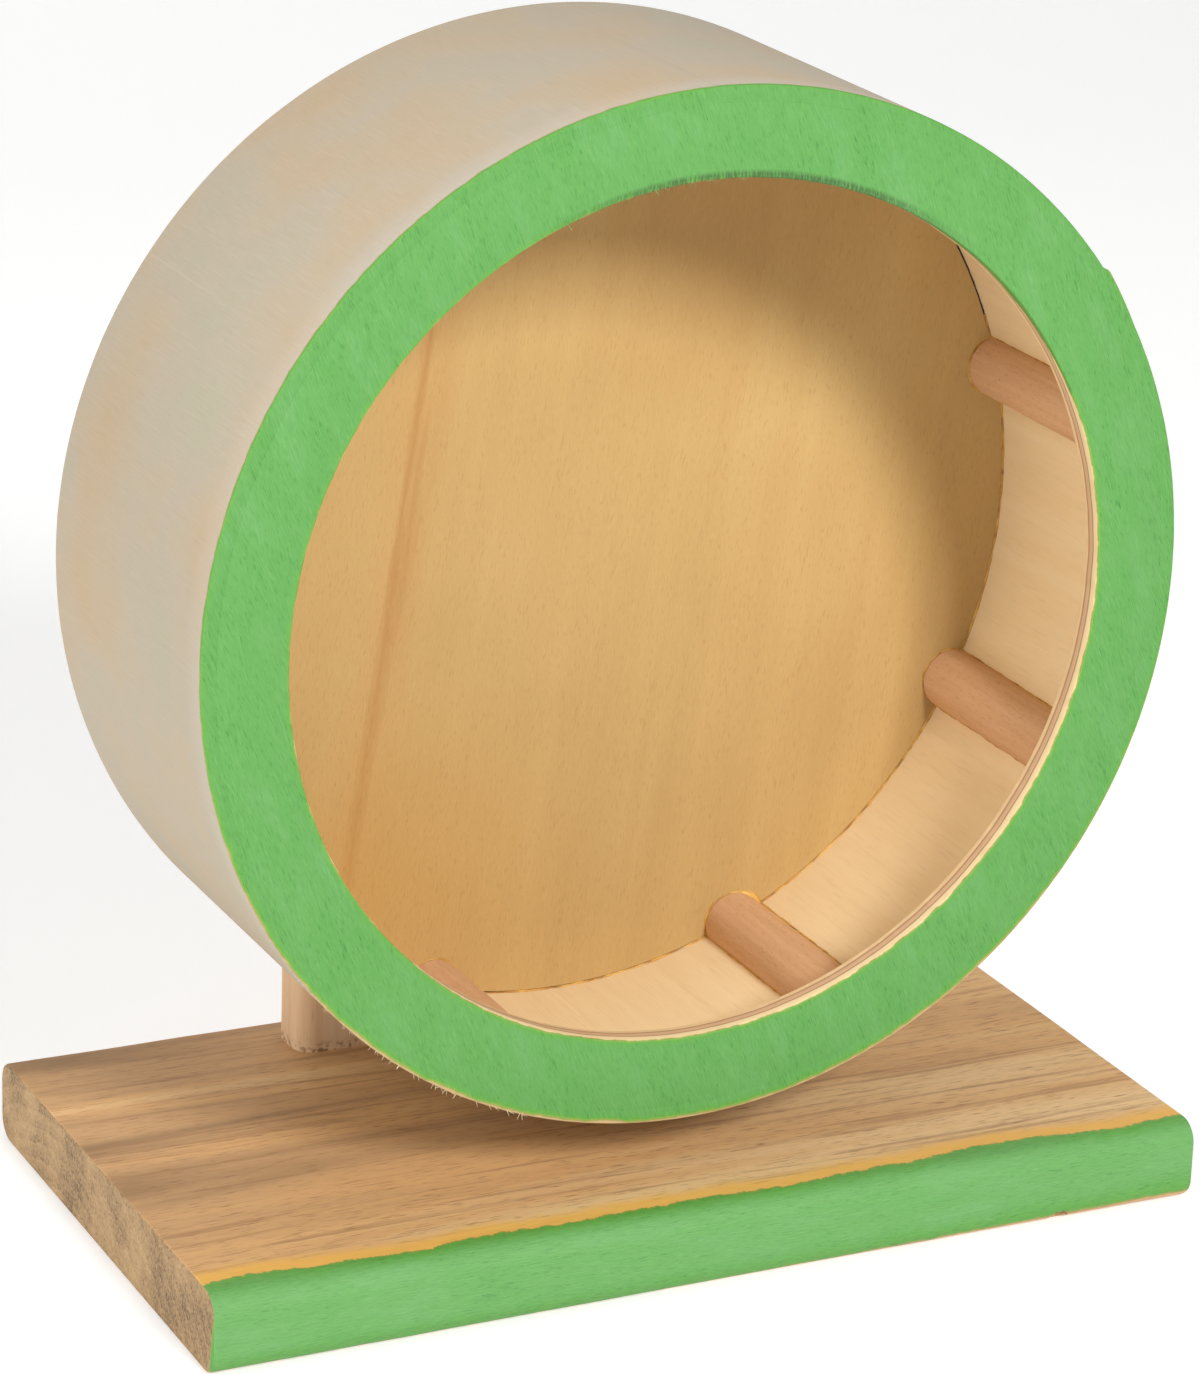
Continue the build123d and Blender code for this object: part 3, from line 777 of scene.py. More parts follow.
# %% Tree for the rungs and their glue
rungs, given = new_tree("half-round rungs in a drum", {
    "Count": "Int",
    "First angle": "Float",
    "Seat radius": "Float",
    "Half width": "Float",
    "Front": "Float",
    "Length": "Float",
    "Axle height": "Float",
    "Skew": "Float",
    "Seed": "Int",
    "Worn end": "Float",
    "Unevenness": "Float",
    "Glue bead": "Float",
    "Heavy bead": "Float",
    "Heavy angle": "Float",
    "Wood": "Material",
    "Glue": "Material",
})
t = rungs
half_round = add(t, "GeometryNodeCurveArc", {
    "Resolution": 29, "Radius": given["Half width"], "Start Angle": 0.0, "Sweep Angle": math.pi})
section = add(t, "GeometryNodeSetSplineCyclic", {"Geometry": half_round, "Cyclic": True})
far = add(t, "ShaderNodeCombineXYZ", {"Y": given["Length"]})
line = add(t, "GeometryNodeCurvePrimitiveLine", {"End": far})
line = add(t, "GeometryNodeResampleCurve", {"Curve": line, "Count": 150})
run = add(t, "GeometryNodeSplineParameter").outputs["Length"]
rest = add(t, "ShaderNodeMath", {0: given["Length"], 1: run}, operation="SUBTRACT")
to_end = add(t, "ShaderNodeMath", {0: run, 1: rest}, operation="MINIMUM")
worn = add(t, "ShaderNodeMapRange", {0: to_end, 1: 0.0, 2: given["Worn end"], 3: 0.95, 4: 1.0})
rung = add(t, "GeometryNodeCurveToMesh", {
    "Curve": line, "Profile Curve": section, "Scale": worn, "Fill Caps": True})

number = add(t, "GeometryNodeInputIndex").outputs[0]
share = add(t, "ShaderNodeMath", {0: 2 * math.pi, 1: given["Count"]}, operation="DIVIDE")
angle = add(t, "ShaderNodeMath", {0: number, 1: share}, operation="MULTIPLY")
angle = add(t, "ShaderNodeMath", {0: angle, 1: given["First angle"]}, operation="ADD")
cosine = add(t, "ShaderNodeMath", {0: angle}, operation="COSINE")
sine = add(t, "ShaderNodeMath", {0: angle}, operation="SINE")
x = add(t, "ShaderNodeMath", {0: cosine, 1: given["Seat radius"]}, operation="MULTIPLY")
z = add(t, "ShaderNodeMath", {0: sine, 1: given["Seat radius"]}, operation="MULTIPLY")
z = add(t, "ShaderNodeMath", {0: z, 1: given["Axle height"]}, operation="ADD")
seat = add(t, "ShaderNodeCombineXYZ", {"X": x, "Y": given["Front"], "Z": z})
seats = add(t, "GeometryNodePoints", {"Count": given["Count"], "Position": seat})
facing = add(t, "ShaderNodeMath", {0: math.pi / 2, 1: angle}, operation="SUBTRACT")
facing = add(t, "ShaderNodeCombineXYZ", {"Y": facing})
facing = add(t, "FunctionNodeEulerToRotation", {0: facing})
less = add(t, "ShaderNodeMath", {0: given["Skew"], 1: -1.0}, operation="MULTIPLY")
askew = add(
    t, "FunctionNodeRandomValue", {2: less, 3: given["Skew"], "Seed": given["Seed"]},
    data_type="FLOAT")
askew = add(t, "ShaderNodeCombineXYZ", {"Z": askew})
askew = add(t, "FunctionNodeEulerToRotation", {0: askew})
facing = add(t, "FunctionNodeRotateRotation", {0: facing, 1: askew}, rotation_space="LOCAL")
placed = add(
    t, "GeometryNodeInstanceOnPoints", {"Points": seats, "Instance": rung, "Rotation": facing})
placed = add(t, "GeometryNodeRealizeInstances", {0: placed})
sanded = add(t, "ShaderNodeTexNoise", {"Scale": 140.0, "Detail": 2.0})
sanded = add(t, "ShaderNodeMath", {0: sanded.outputs[0], 1: 0.5}, operation="SUBTRACT")
sanded = add(t, "ShaderNodeMath", {0: sanded, 1: given["Unevenness"]}, operation="MULTIPLY")
sanded = add(
    t, "ShaderNodeVectorMath", {0: add(t, "GeometryNodeInputNormal"), "Scale": sanded},
    operation="SCALE")
placed = add(t, "GeometryNodeSetPosition", {"Geometry": placed, "Offset": sanded})
wood = add(t, "GeometryNodeSetMaterial", {"Geometry": placed, "Material": given["Wood"]})
print("rungs so far:", len(t.nodes), "nodes")

# %% The glue's part of the tree
left = add(t, "ShaderNodeMath", {0: given["Half width"], 1: -1.0}, operation="MULTIPLY")
edges = t.nodes.new("GeometryNodeJoinGeometry")
for side in (given["Half width"], left):
    near_end = add(t, "ShaderNodeCombineXYZ", {"X": side})
    far_end = add(t, "ShaderNodeCombineXYZ", {"X": side, "Y": given["Length"]})
    edge = add(t, "GeometryNodeCurvePrimitiveLine", {"Start": near_end, "End": far_end})
    t.links.new(edge.outputs[0], edges.inputs[0])
end = add(t, "GeometryNodeCurveArc", {
    "Resolution": 33, "Radius": given["Half width"], "Start Angle": 0.0, "Sweep Angle": math.pi})
end = add(t, "GeometryNodeTransform", {
    "Geometry": end, "Translation": far, "Rotation": (math.radians(-90), 0.0, 0.0)})
t.links.new(end.outputs[0], edges.inputs[0])
beads = add(
    t, "GeometryNodeInstanceOnPoints", {"Points": seats, "Instance": edges, "Rotation": facing})
beads = add(t, "GeometryNodeRealizeInstances", {0: beads})
beads = add(t, "GeometryNodeResampleCurve", {"Curve": beads, "Length": 0.0007}, mode="LENGTH")
lumps = add(t, "ShaderNodeTexNoise", {"Scale": 330.0, "Detail": 3.0})
thick = add(t, "ShaderNodeMapRange", {0: lumps.outputs[0], 1: 0.3, 2: 0.75, 3: 0.25, 4: 1.5})
thick = add(t, "ShaderNodeMath", {0: thick, 1: given["Glue bead"]}, operation="MULTIPLY")
spot = add(t, "ShaderNodeSeparateXYZ", {0: add(t, "GeometryNodeInputPosition")}).outputs
up = add(t, "ShaderNodeMath", {0: spot["Z"], 1: given["Axle height"]}, operation="SUBTRACT")
round_wheel = add(t, "ShaderNodeMath", {0: up, 1: spot["X"]}, operation="ARCTAN2")
off = add(t, "ShaderNodeMath", {0: round_wheel, 1: given["Heavy angle"]}, operation="SUBTRACT")
off = add(t, "ShaderNodeMath", {0: off}, operation="ABSOLUTE")
heavy = add(
    t, "ShaderNodeMapRange", {0: off, 1: 0.0, 2: math.radians(1.6), 3: given["Heavy bead"], 4: 0.0})
thick = add(t, "ShaderNodeMath", {0: thick, 1: heavy}, operation="ADD")
drop = add(t, "GeometryNodeCurvePrimitiveCircle", {"Resolution": 8, "Radius": 1.0})
beads = add(t, "GeometryNodeCurveToMesh", {
    "Curve": beads, "Profile Curve": drop, "Scale": thick, "Fill Caps": True})
beads = add(t, "GeometryNodeSetMaterial", {"Geometry": beads, "Material": given["Glue"]})
all_of_it = t.nodes.new("GeometryNodeJoinGeometry")
t.links.new(beads.outputs[0], all_of_it.inputs[0])
t.links.new(wood.outputs[0], all_of_it.inputs[0])
add(t, "NodeGroupOutput", {"Geometry": all_of_it})
print("rungs and glue:", len(t.nodes), "nodes")

# %% [markdown]
# ## Beech and glue
#
# Beech is reddish and even, with fine darker flecks a few millimetres long,
# the rays that make it easy to recognise. Dry wood glue is a thin amber skin.
# A near-black brown is painted shade: it stands for the dark of the open gap
# at the disc's upper right.

# %% Material: beech moulding
beech, t, shader, here = new_finish("sanded_beech_moulding")
grain = add(t, "ShaderNodeMapping", {"Vector": here, "Rotation": (0.0, 0.0, math.radians(-90))})
figure = add(t, "ShaderNodeGroup", {
    "Place": grain, "Streak width": 1.8, "Streak length": 30.0,
    "Fleck width": 0.26, "Fleck length": 1.8, "Wander": 2.5}, node_tree=wood_figure).outputs
body = add(t, "ShaderNodeValToRGB", {0: figure["Streak"]},
           stops=[(0.30, "d0a47c"), (0.50, "d8ac84"), (0.70, "deb48e")])
mark = add(t, "ShaderNodeMath", {0: figure["Fleck"], 1: 0.45}, operation="MULTIPLY")
body = add(t, "ShaderNodeMix", {0: mark, 6: body, 7: linear("a9764f")}, data_type="RGBA")
t.links.new(body.outputs[2], shader.inputs["Base Color"])
dull = add(t, "ShaderNodeMapRange", {0: figure["Fibre"], 3: 0.55, 4: 0.75})
t.links.new(dull.outputs[0], shader.inputs["Roughness"])
dents = add(t, "ShaderNodeBump", {"Strength": 0.5, "Distance": 0.00012, "Height": figure["Fibre"]})
t.links.new(dents.outputs[0], shader.inputs["Normal"])
shader.inputs["Specular IOR Level"].default_value = 0.35
print("beech moulding:", len(t.nodes), "nodes")

# %% Material: dried wood glue
dry_glue, t, shader, here = new_finish("dried_wood_glue")
mottle = add(t, "ShaderNodeTexNoise", {"Vector": here, "Scale": 300.0, "Detail": 3.0})
amber = add(t, "ShaderNodeValToRGB", {0: mottle.outputs[0]},
            stops=[(0.35, "a06c28"), (0.50, "c9963f"), (0.68, "dcb25c")])
t.links.new(amber.outputs[0], shader.inputs["Base Color"])
dull = add(t, "ShaderNodeMapRange", {0: mottle.outputs[0], 3: 0.35, 4: 0.6})
t.links.new(dull.outputs[0], shader.inputs["Roughness"])
print("dried wood glue:", len(t.nodes), "nodes")

# %% Material: painted shade for the gap round the disc
gap_shade_finish, t, shader, here = new_finish("painted_shade_in_the_gap")
mottle = add(t, "ShaderNodeTexNoise", {"Vector": here, "Scale": 400.0, "Detail": 3.0})
brown = add(
    t, "ShaderNodeValToRGB", {0: mottle.outputs[0]}, stops=[(0.4, "1f150d"), (0.65, "3d2a19")])
t.links.new(brown.outputs[0], shader.inputs["Base Color"])
shader.inputs["Roughness"].default_value = 0.8
print("old glue:", len(t.nodes), "nodes")

# %% Rungs
rung_low, rung_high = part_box("rung_1")
half_width = 6.25 * mm
rung_set = grow(rungs, "rungs_beech_half_round", {
    "Count": 9, "First angle": math.radians(14.2),
    "Seat radius": math.sqrt(rim_inside ** 2 - half_width ** 2), "Half width": half_width,
    "Front": rung_low.y, "Length": rung_high.y - rung_low.y, "Axle height": axle_height,
    "Skew": math.radians(0.5), "Seed": 4, "Worn end": 0.4 * mm, "Unevenness": 0.22 * mm,
    "Glue bead": 0.26 * mm, "Heavy bead": 0.85 * mm, "Heavy angle": math.radians(-62.0),
    "Wood": beech, "Glue": dry_glue,
}, smooth_below=20.0)
belongs(rung_set, "wheel", *[f"rung_{n}" for n in range(1, 10)], slot="rung_beech")

# %% [markdown]
# ## Glue between the disc and the rim
#
# A bead of glue closes the gap round the disc, except along a short stretch at
# the upper right, where the gap stays open and in shade. There a thin near-black
# bead set a little deeper in the gap is painted shade, and shows as a dark line.
# Both beads are arcs with the same noisy thickness as the beads at the rungs.

# %% Tree for a bead along an arc
arc_bead, given = new_tree("bead of glue along an arc", {
    "Radius": "Float",
    "Depth": "Float",
    "Axle height": "Float",
    "From angle": "Float",
    "Sweep": "Float",
    "Bead": "Float",
    "Glue": "Material",
})
t = arc_bead
arc = add(t, "GeometryNodeCurveArc", {
    "Resolution": 1100, "Radius": given["Radius"], "Start Angle": given["From angle"],
    "Sweep Angle": given["Sweep"]})
stand = add(t, "ShaderNodeCombineXYZ", {"Y": given["Depth"], "Z": given["Axle height"]})
arc = add(t, "GeometryNodeTransform", {
    "Geometry": arc, "Translation": stand, "Rotation": (math.radians(90), 0.0, 0.0)})
lumps = add(t, "ShaderNodeTexNoise", {"Scale": 200.0, "Detail": 4.0, "Roughness": 0.7})
thick = add(t, "ShaderNodeMapRange", {0: lumps.outputs[0], 1: 0.35, 2: 0.75, 3: 0.4, 4: 1.9})
thick = add(t, "ShaderNodeMath", {0: thick, 1: given["Bead"]}, operation="MULTIPLY")
drop = add(t, "GeometryNodeCurvePrimitiveCircle", {"Resolution": 7, "Radius": 1.0})
bead = add(t, "GeometryNodeCurveToMesh", {
    "Curve": arc, "Profile Curve": drop, "Scale": thick, "Fill Caps": True})
bead = add(t, "GeometryNodeRealizeInstances", {0: bead})
bead = add(t, "GeometryNodeSetMaterial", {"Geometry": bead, "Material": given["Glue"]})
add(t, "NodeGroupOutput", {"Geometry": bead})
print("bead along an arc:", len(t.nodes), "nodes")

# %% Glue round the disc, and painted shade in its gap
disc_glue = grow(arc_bead, "glue_round_the_disc", {
    "Radius": rim_inside - 0.15 * mm, "Depth": disc_low.y, "Axle height": axle_height,
    "From angle": math.radians(42), "Sweep": math.radians(339), "Bead": 0.22 * mm, "Glue": dry_glue,
}, smooth_below=60.0)
belongs(disc_glue, "wheel")
# Painted shade: a near-black bead deep in the open gap stands for its shadow.
gap_shade_bead = grow(arc_bead, "painted_shade_bead_in_the_gap", {
    "Radius": rim_inside - 0.2 * mm, "Depth": disc_low.y + 0.3 * mm, "Axle height": axle_height,
    "From angle": math.radians(19), "Sweep": math.radians(25), "Bead": 0.24 * mm,
    "Glue": gap_shade_finish,
}, smooth_below=60.0)
belongs(gap_shade_bead, "wheel")

# %% [markdown]
# ## Torn fibres
#
# The saw and the brush left fibres standing up along two edges: the outer edge
# at the lower left, and the ring's hole at the top. Each fibre is a hair-thin
# cone. A seed draws its place along the arc, its length and its tilt. Raw birch
# is pale and matt, so the outer ones show as light specks, while those at the
# hole are stiff with green paint and look dark.

# %% Tree for torn fibres along an arc
fibres, given = new_tree("torn fibres along an arc", {
    "Radius": "Float",
    "Outward": "Float",
    "Depth": "Float",
    "Axle height": "Float",
    "From angle": "Float",
    "To angle": "Float",
    "Count": "Int",
    "Length": "Float",
    "Thickness": "Float",
    "Seed": "Int",
    "Finish": "Material",
})
t = fibres
tip = add(t, "ShaderNodeCombineXYZ", {"Z": given["Length"]})
hair = add(t, "GeometryNodeCurvePrimitiveLine", {"End": tip})
hair = add(t, "GeometryNodeResampleCurve", {"Curve": hair, "Count": 4})
taper = add(t, "ShaderNodeMapRange", {
    0: add(t, "GeometryNodeSplineParameter").outputs["Factor"], 3: 1.0, 4: 0.25})
hair_section = add(
    t, "GeometryNodeCurvePrimitiveCircle", {"Resolution": 5, "Radius": given["Thickness"]})
hair = add(t, "GeometryNodeCurveToMesh", {
    "Curve": hair, "Profile Curve": hair_section, "Scale": taper, "Fill Caps": True})
angle = add(t, "FunctionNodeRandomValue", {
    2: given["From angle"], 3: given["To angle"], "Seed": given["Seed"]}, data_type="FLOAT")
cosine = add(t, "ShaderNodeMath", {0: angle}, operation="COSINE")
sine = add(t, "ShaderNodeMath", {0: angle}, operation="SINE")
x = add(t, "ShaderNodeMath", {0: cosine, 1: given["Radius"]}, operation="MULTIPLY")
z = add(t, "ShaderNodeMath", {0: sine, 1: given["Radius"]}, operation="MULTIPLY")
z = add(t, "ShaderNodeMath", {0: z, 1: given["Axle height"]}, operation="ADD")
root = add(t, "ShaderNodeCombineXYZ", {"X": x, "Y": given["Depth"], "Z": z})
roots = add(t, "GeometryNodePoints", {"Count": given["Count"], "Position": root})
out_x = add(t, "ShaderNodeMath", {0: cosine, 1: given["Outward"]}, operation="MULTIPLY")
out_z = add(t, "ShaderNodeMath", {0: sine, 1: given["Outward"]}, operation="MULTIPLY")
outward = add(t, "ShaderNodeCombineXYZ", {"X": out_x, "Z": out_z})
leaning = add(t, "FunctionNodeRandomValue", {
    0: (-0.9, -0.7, -0.9), 1: (0.9, 0.1, 0.9), "Seed": given["Seed"]}, data_type="FLOAT_VECTOR")
outward = add(t, "ShaderNodeVectorMath", {0: outward, 1: leaning}, operation="ADD")
pointing = add(t, "FunctionNodeAlignRotationToVector", {"Vector": outward}, axis="Z")
size = add(t, "FunctionNodeRandomValue", {
    2: 0.25, 3: 1.0, "Seed": given["Seed"]}, data_type="FLOAT")
hairs = add(t, "GeometryNodeInstanceOnPoints", {
    "Points": roots, "Instance": hair, "Rotation": pointing, "Scale": size})
hairs = add(t, "GeometryNodeRealizeInstances", {0: hairs})
hairs = add(t, "GeometryNodeSetMaterial", {"Geometry": hairs, "Material": given["Finish"]})
add(t, "NodeGroupOutput", {"Geometry": hairs})
print("torn fibres:", len(t.nodes), "nodes")

# %% Materials: raw and painted birch fibre
def fibre_finish(name, dark, light):
    """Matt fibre whose colour varies a little from one to the next."""
    finish, t, shader, here = new_finish(name)
    tint = add(t, "ShaderNodeTexNoise", {"Vector": here, "Scale": 500.0})
    tint = add(t, "ShaderNodeValToRGB", {0: tint.outputs[0]}, stops=[(0.4, dark), (0.6, light)])
    t.links.new(tint.outputs[0], shader.inputs["Base Color"])
    shader.inputs["Roughness"].default_value = 0.9
    return finish


raw_fibre = fibre_finish("torn_raw_birch_fibre", "c8b68a", "e0d3b4")
painted_fibre = fibre_finish("torn_painted_birch_fibre", "3f6a35", "8d9a5e")
print("fibre finishes:", raw_fibre.name + ",", painted_fibre.name)

# %% Fibres at the two edges
outer_fibres = grow(fibres, "torn_fibres_outer_edge", {
    "Radius": wheel_radius - 0.1 * mm, "Outward": 1.0, "Depth": ring_front + 0.15 * mm,
    "Axle height": axle_height, "From angle": math.radians(200), "To angle": math.radians(250),
    "Count": 64, "Length": 1.2 * mm, "Thickness": 0.07 * mm, "Seed": 11, "Finish": raw_fibre,
})
belongs(outer_fibres, "wheel")
inner_fibres = grow(fibres, "torn_fibres_hole", {
    "Radius": opening_radius + 0.1 * mm, "Outward": -1.0, "Depth": ring_front + 0.2 * mm,
    "Axle height": axle_height, "From angle": math.radians(62), "To angle": math.radians(112),
    "Count": 44, "Length": 1.2 * mm, "Thickness": 0.08 * mm, "Seed": 5, "Finish": painted_fibre,
})
belongs(inner_fibres, "wheel")

# %% [markdown]
# ## Base board
#
# The base is one piece of pine: long edges rounded, ends sawn square. A section
# is drawn once and repeated at stations along the board, and faces join each
# station to the next. Points lie a few millimetres apart even on the flats,
# because smooth shading spreads a corner's normal over the whole next face. The
# last stations are a little smaller, which breaks the corner at the sawn ends.

# %% Draw the board
def board_section(half_depth, height, radius):
    """Points (y, z) once round the board's end, anticlockwise from the lower front."""
    outline = []
    corners = [(1, 0, -90), (1, 1, 0), (-1, 1, 90), (-1, 0, 180)]
    for side, top, start in corners:
        centre_y = side * (half_depth - radius)
        centre_z = height - radius if top else radius
        for step in range(11):
            turn = math.radians(start + 90 * step / 10)
            outline.append((centre_y + radius * math.cos(turn), centre_z + radius * math.sin(turn)))
    spread = []
    for here, there in zip(outline, outline[1:] + outline[:1]):
        gap = math.dist(here, there)
        pieces = max(1, round(gap / 0.004)) if gap > 0.0015 else 1
        for step in range(pieces):
            spread.append(tuple(a + (b - a) * step / pieces for a, b in zip(here, there)))
    return spread


def draw_board(name, low, high, radius, corner, fine_from, fine_to):
    """A rounded board along X, with closer stations in one stretch."""
    half_depth = (high.y - low.y) / 2
    height = high.z - low.z
    stations = [(low.x, corner), (low.x + 0.3 * corner, 0.3 * corner), (low.x + corner, 0.0)]
    x = low.x + corner
    while x < high.x - 2 * corner - 0.002:
        x += 0.0004 if fine_from < x < fine_to else 0.002
        stations.append((x, 0.0))
    stations += [(high.x - corner, 0.0), (high.x - 0.3 * corner, 0.3 * corner), (high.x, corner)]
    shape = bmesh.new()
    loops = []
    for x, inset in stations:
        section = board_section(half_depth - inset, height - 2 * inset, radius - inset)
        loops.append([shape.verts.new((x, y, z + inset + low.z)) for y, z in section])
    count = len(loops[0])
    for near, far in zip(loops, loops[1:]):
        for i in range(count):
            j = (i + 1) % count
            shape.faces.new((near[i], near[j], far[j], far[i]))
    shape.faces.new(loops[0][::-1])
    shape.faces.new(loops[-1])
    mesh = bpy.data.meshes.new(name)
    shape.to_mesh(mesh)
    shape.free()
    piece = bpy.data.objects.new(name, mesh)
    scene.collection.objects.link(piece)
    return piece


chip_at = Vector((0.0742, base_low.y + 0.6 * mm, 0.9 * mm))
base_board = draw_board(
    "base_board_pine", base_low, base_high, radius=4.5 * mm, corner=0.45 * mm,
    fine_from=chip_at.x - 4.2 * mm, fine_to=chip_at.x + 4.8 * mm)
print("board drawn with", len(base_board.data.vertices), "points")

# %% [markdown]
# ## Worn by hand and saw
#
# A planed board is never quite flat. Noise moves each point by about a tenth of
# a millimetre, a little more on the rounded edges, and never below the floor.
# A chip is broken out of the lower front edge near the right end: the points
# near its middle are pushed into the board.

# %% Make the board uneven and chip its edge
for point in base_board.data.vertices:
    spot = point.co.copy()
    rounded = abs(abs(spot.y) - base_high.y) < 4 * mm
    swell = noise.noise(spot * 55) * (0.14 if rounded else 0.07) * mm
    point.co.z += swell if spot.z > 8 * mm else 0.0
    point.co.y += math.copysign(swell, spot.y) if rounded else 0.0
    off = spot - chip_at
    broken = 1 - math.sqrt((off.x / 0.0021) ** 2 + (off.y / 0.0028) ** 2 + (off.z / 0.0016) ** 2)
    if broken > 0:
        depth = min(1.0, 2.2 * broken) * (1.5 + 0.6 * noise.noise(spot * 2500)) * mm
        point.co.y += depth
        point.co.z += 0.35 * depth
    point.co.z = max(point.co.z, 0.0)
tidy(base_board.data, 14.0)
print("board is", round(1000 * base_board.dimensions.y, 2), "mm deep")

# %% [markdown]
# ## Holes
#
# Two countersunk screws come up through the base into the upright, and the axle
# bolt passes through the upright. A Boolean modifier cuts each hole with a
# turned cutter, and the result is kept as a plain mesh. The sizes are those of
# the CAD source.

# %% Drill
def drill(piece, cutters):
    """Cuts holes. A cutter is (centre of its start, direction, [(distance, radius), ...])."""
    shape = bmesh.new()
    for start, direction, profile in cutters:
        turn = Vector(direction).to_track_quat("Z", "Y").to_matrix().to_4x4()
        place = Matrix.Translation(start) @ turn
        loops = []
        for distance, radius in profile:
            ring = []
            for step in range(48):
                angle = 2 * math.pi * step / 48
                spot = Vector((radius * math.cos(angle), radius * math.sin(angle), distance))
                ring.append(shape.verts.new(place @ spot))
            loops.append(ring)
        for near, far in zip(loops, loops[1:]):
            for i in range(48):
                j = (i + 1) % 48
                shape.faces.new((near[i], near[j], far[j], far[i]))
        shape.faces.new(loops[0][::-1])
        shape.faces.new(loops[-1])
    bmesh.ops.recalc_face_normals(shape, faces=shape.faces)
    mesh = bpy.data.meshes.new("cutter")
    shape.to_mesh(mesh)
    shape.free()
    cutter = bpy.data.objects.new("cutter", mesh)
    scene.collection.objects.link(cutter)
    cut = piece.modifiers.new("drill", "BOOLEAN")
    cut.object = cutter
    cut.operation = "DIFFERENCE"
    cut.solver = "EXACT"
    depsgraph = bpy.context.evaluated_depsgraph_get()
    drilled = bpy.data.meshes.new_from_object(piece.evaluated_get(depsgraph))
    piece.modifiers.remove(cut)
    piece.data = drilled
    bpy.data.objects.remove(cutter)
    tidy(drilled, 14.0)


screw_spacing = 56 * mm
screw_row = (upright_low.y + upright_high.y) / 2
screw_spots = [Vector((side * screw_spacing / 2, screw_row, 0)) for side in (-1, 1)]
countersink = [(-1.0 * mm, 5.35 * mm), (2.3 * mm, 2.05 * mm), (17.5 * mm, 2.05 * mm)]
drill(base_board, [(spot, (0, 0, 1), countersink) for spot in screw_spots])
print("base board:", len(base_board.data.polygons), "faces")

# %% [markdown]
# ## Pine, and the base's painted front
#
# The board was cut from a streaky piece of pine: broad tan and brown bands,
# close dark lines and short dark dashes, browner towards the back and the left
# end. Its sawn ends show the rings as arcs, with a coarser, speckled face.
#
# The brush went along the front edge and ran a little over onto the top, with a
# wavy border, and above the border the wood is stained yellow where thinner
# paint soaked in. Along the bottom the coat stops short of the lower corner.
# How far a point is below the coat's upper border is counted down the rounded
# edge as depth plus height, which is good enough over a few millimetres.

# %% Material: pine with a painted edge
pine, t, shader, here = new_finish("streaky_pine_painted_edge")
figure = add(t, "ShaderNodeGroup", {
    "Place": here, "Streak width": 2.0, "Streak length": 120.0,
    "Fleck width": 0.34, "Fleck length": 4.5, "Wander": 9.0}, node_tree=wood_figure).outputs
broad = add(t, "ShaderNodeMapping", {"Vector": here, "Scale": (5.0, 62.0, 62.0)})
broad = add(
    t, "ShaderNodeTexNoise", {"Vector": broad, "Scale": 1.0, "Detail": 3.0, "Distortion": 0.4})
xyz = add(t, "ShaderNodeSeparateXYZ", {0: here}).outputs
to_back = add(t, "ShaderNodeMapRange", {0: xyz["Y"], 1: -0.06, 2: 0.06, 3: 0.10, 4: -0.12})
tone = add(t, "ShaderNodeMath", {0: broad.outputs[0], 1: to_back}, operation="ADD")
to_left = add(t, "ShaderNodeMapRange", {0: xyz["X"], 1: -0.104, 2: -0.055, 3: -0.10, 4: 0.0})
tone = add(t, "ShaderNodeMath", {0: tone, 1: to_left}, operation="ADD")
body = add(t, "ShaderNodeValToRGB", {0: tone}, stops=[
    (0.24, "94734f"), (0.37, "bb9366"), (0.50, "cda06b"), (0.72, "d9b684")])
line = add(t, "ShaderNodeMapRange", {0: figure["Streak"], 1: 0.34, 2: 0.47, 3: 0.55, 4: 0.0})
body = add(t, "ShaderNodeMix", {0: line, 6: body, 7: linear("8f6844")}, data_type="RGBA")
mark = add(t, "ShaderNodeMath", {0: figure["Fleck"], 1: 0.75}, operation="MULTIPLY")
body = add(t, "ShaderNodeMix", {0: mark, 6: body, 7: linear("86603d")}, data_type="RGBA")
print("pine, long grain:", len(t.nodes), "nodes")

# %% [markdown]
# ### The sawn ends
#
# The middle of the tree lay a few centimetres below the board. A point's
# distance from it gives the rings, and noise gives the speckle and the darker
# patches that a saw leaves. Where a face looks along X, this pattern takes over.

# %% The sawn ends
pith = add(t, "ShaderNodeVectorMath", {0: here, 1: (0.0, 0.021, -0.034)}, operation="SUBTRACT")
pith = add(t, "ShaderNodeVectorMath", {0: pith, 1: (0.0, 1.0, 1.25)}, operation="MULTIPLY")
ring_distance = add(t, "ShaderNodeVectorMath", {0: pith}, operation="LENGTH").outputs["Value"]
ragged = add(t, "ShaderNodeTexNoise", {"Vector": here, "Scale": 90.0, "Detail": 4.0})
ragged = add(t, "ShaderNodeMapRange", {0: ragged.outputs[0], 3: -0.002, 4: 0.002})
ring_distance = add(t, "ShaderNodeMath", {0: ring_distance, 1: ragged}, operation="ADD")
rings = add(t, "ShaderNodeMath", {0: ring_distance, 1: 1 / 0.0041}, operation="MULTIPLY")
rings = add(t, "ShaderNodeMath", {0: rings}, operation="FRACT")
speckle = add(
    t, "ShaderNodeTexNoise", {"Vector": here, "Scale": 1500.0, "Detail": 3.0, "Roughness": 0.7})
patch = add(
    t, "ShaderNodeTexNoise", {"Vector": here, "Scale": 85.0, "Detail": 5.0, "Roughness": 0.65})
sum_up = add(t, "ShaderNodeMath", {0: rings, 1: 0.11}, operation="MULTIPLY")
sum_up = add(t, "ShaderNodeMath", {0: sum_up, 1: speckle.outputs[0]}, operation="ADD")
sum_up = add(t, "ShaderNodeMath", {0: sum_up, 1: patch.outputs[0]}, operation="ADD")
sum_up = add(t, "ShaderNodeMath", {0: sum_up, 1: 0.55}, operation="MULTIPLY")
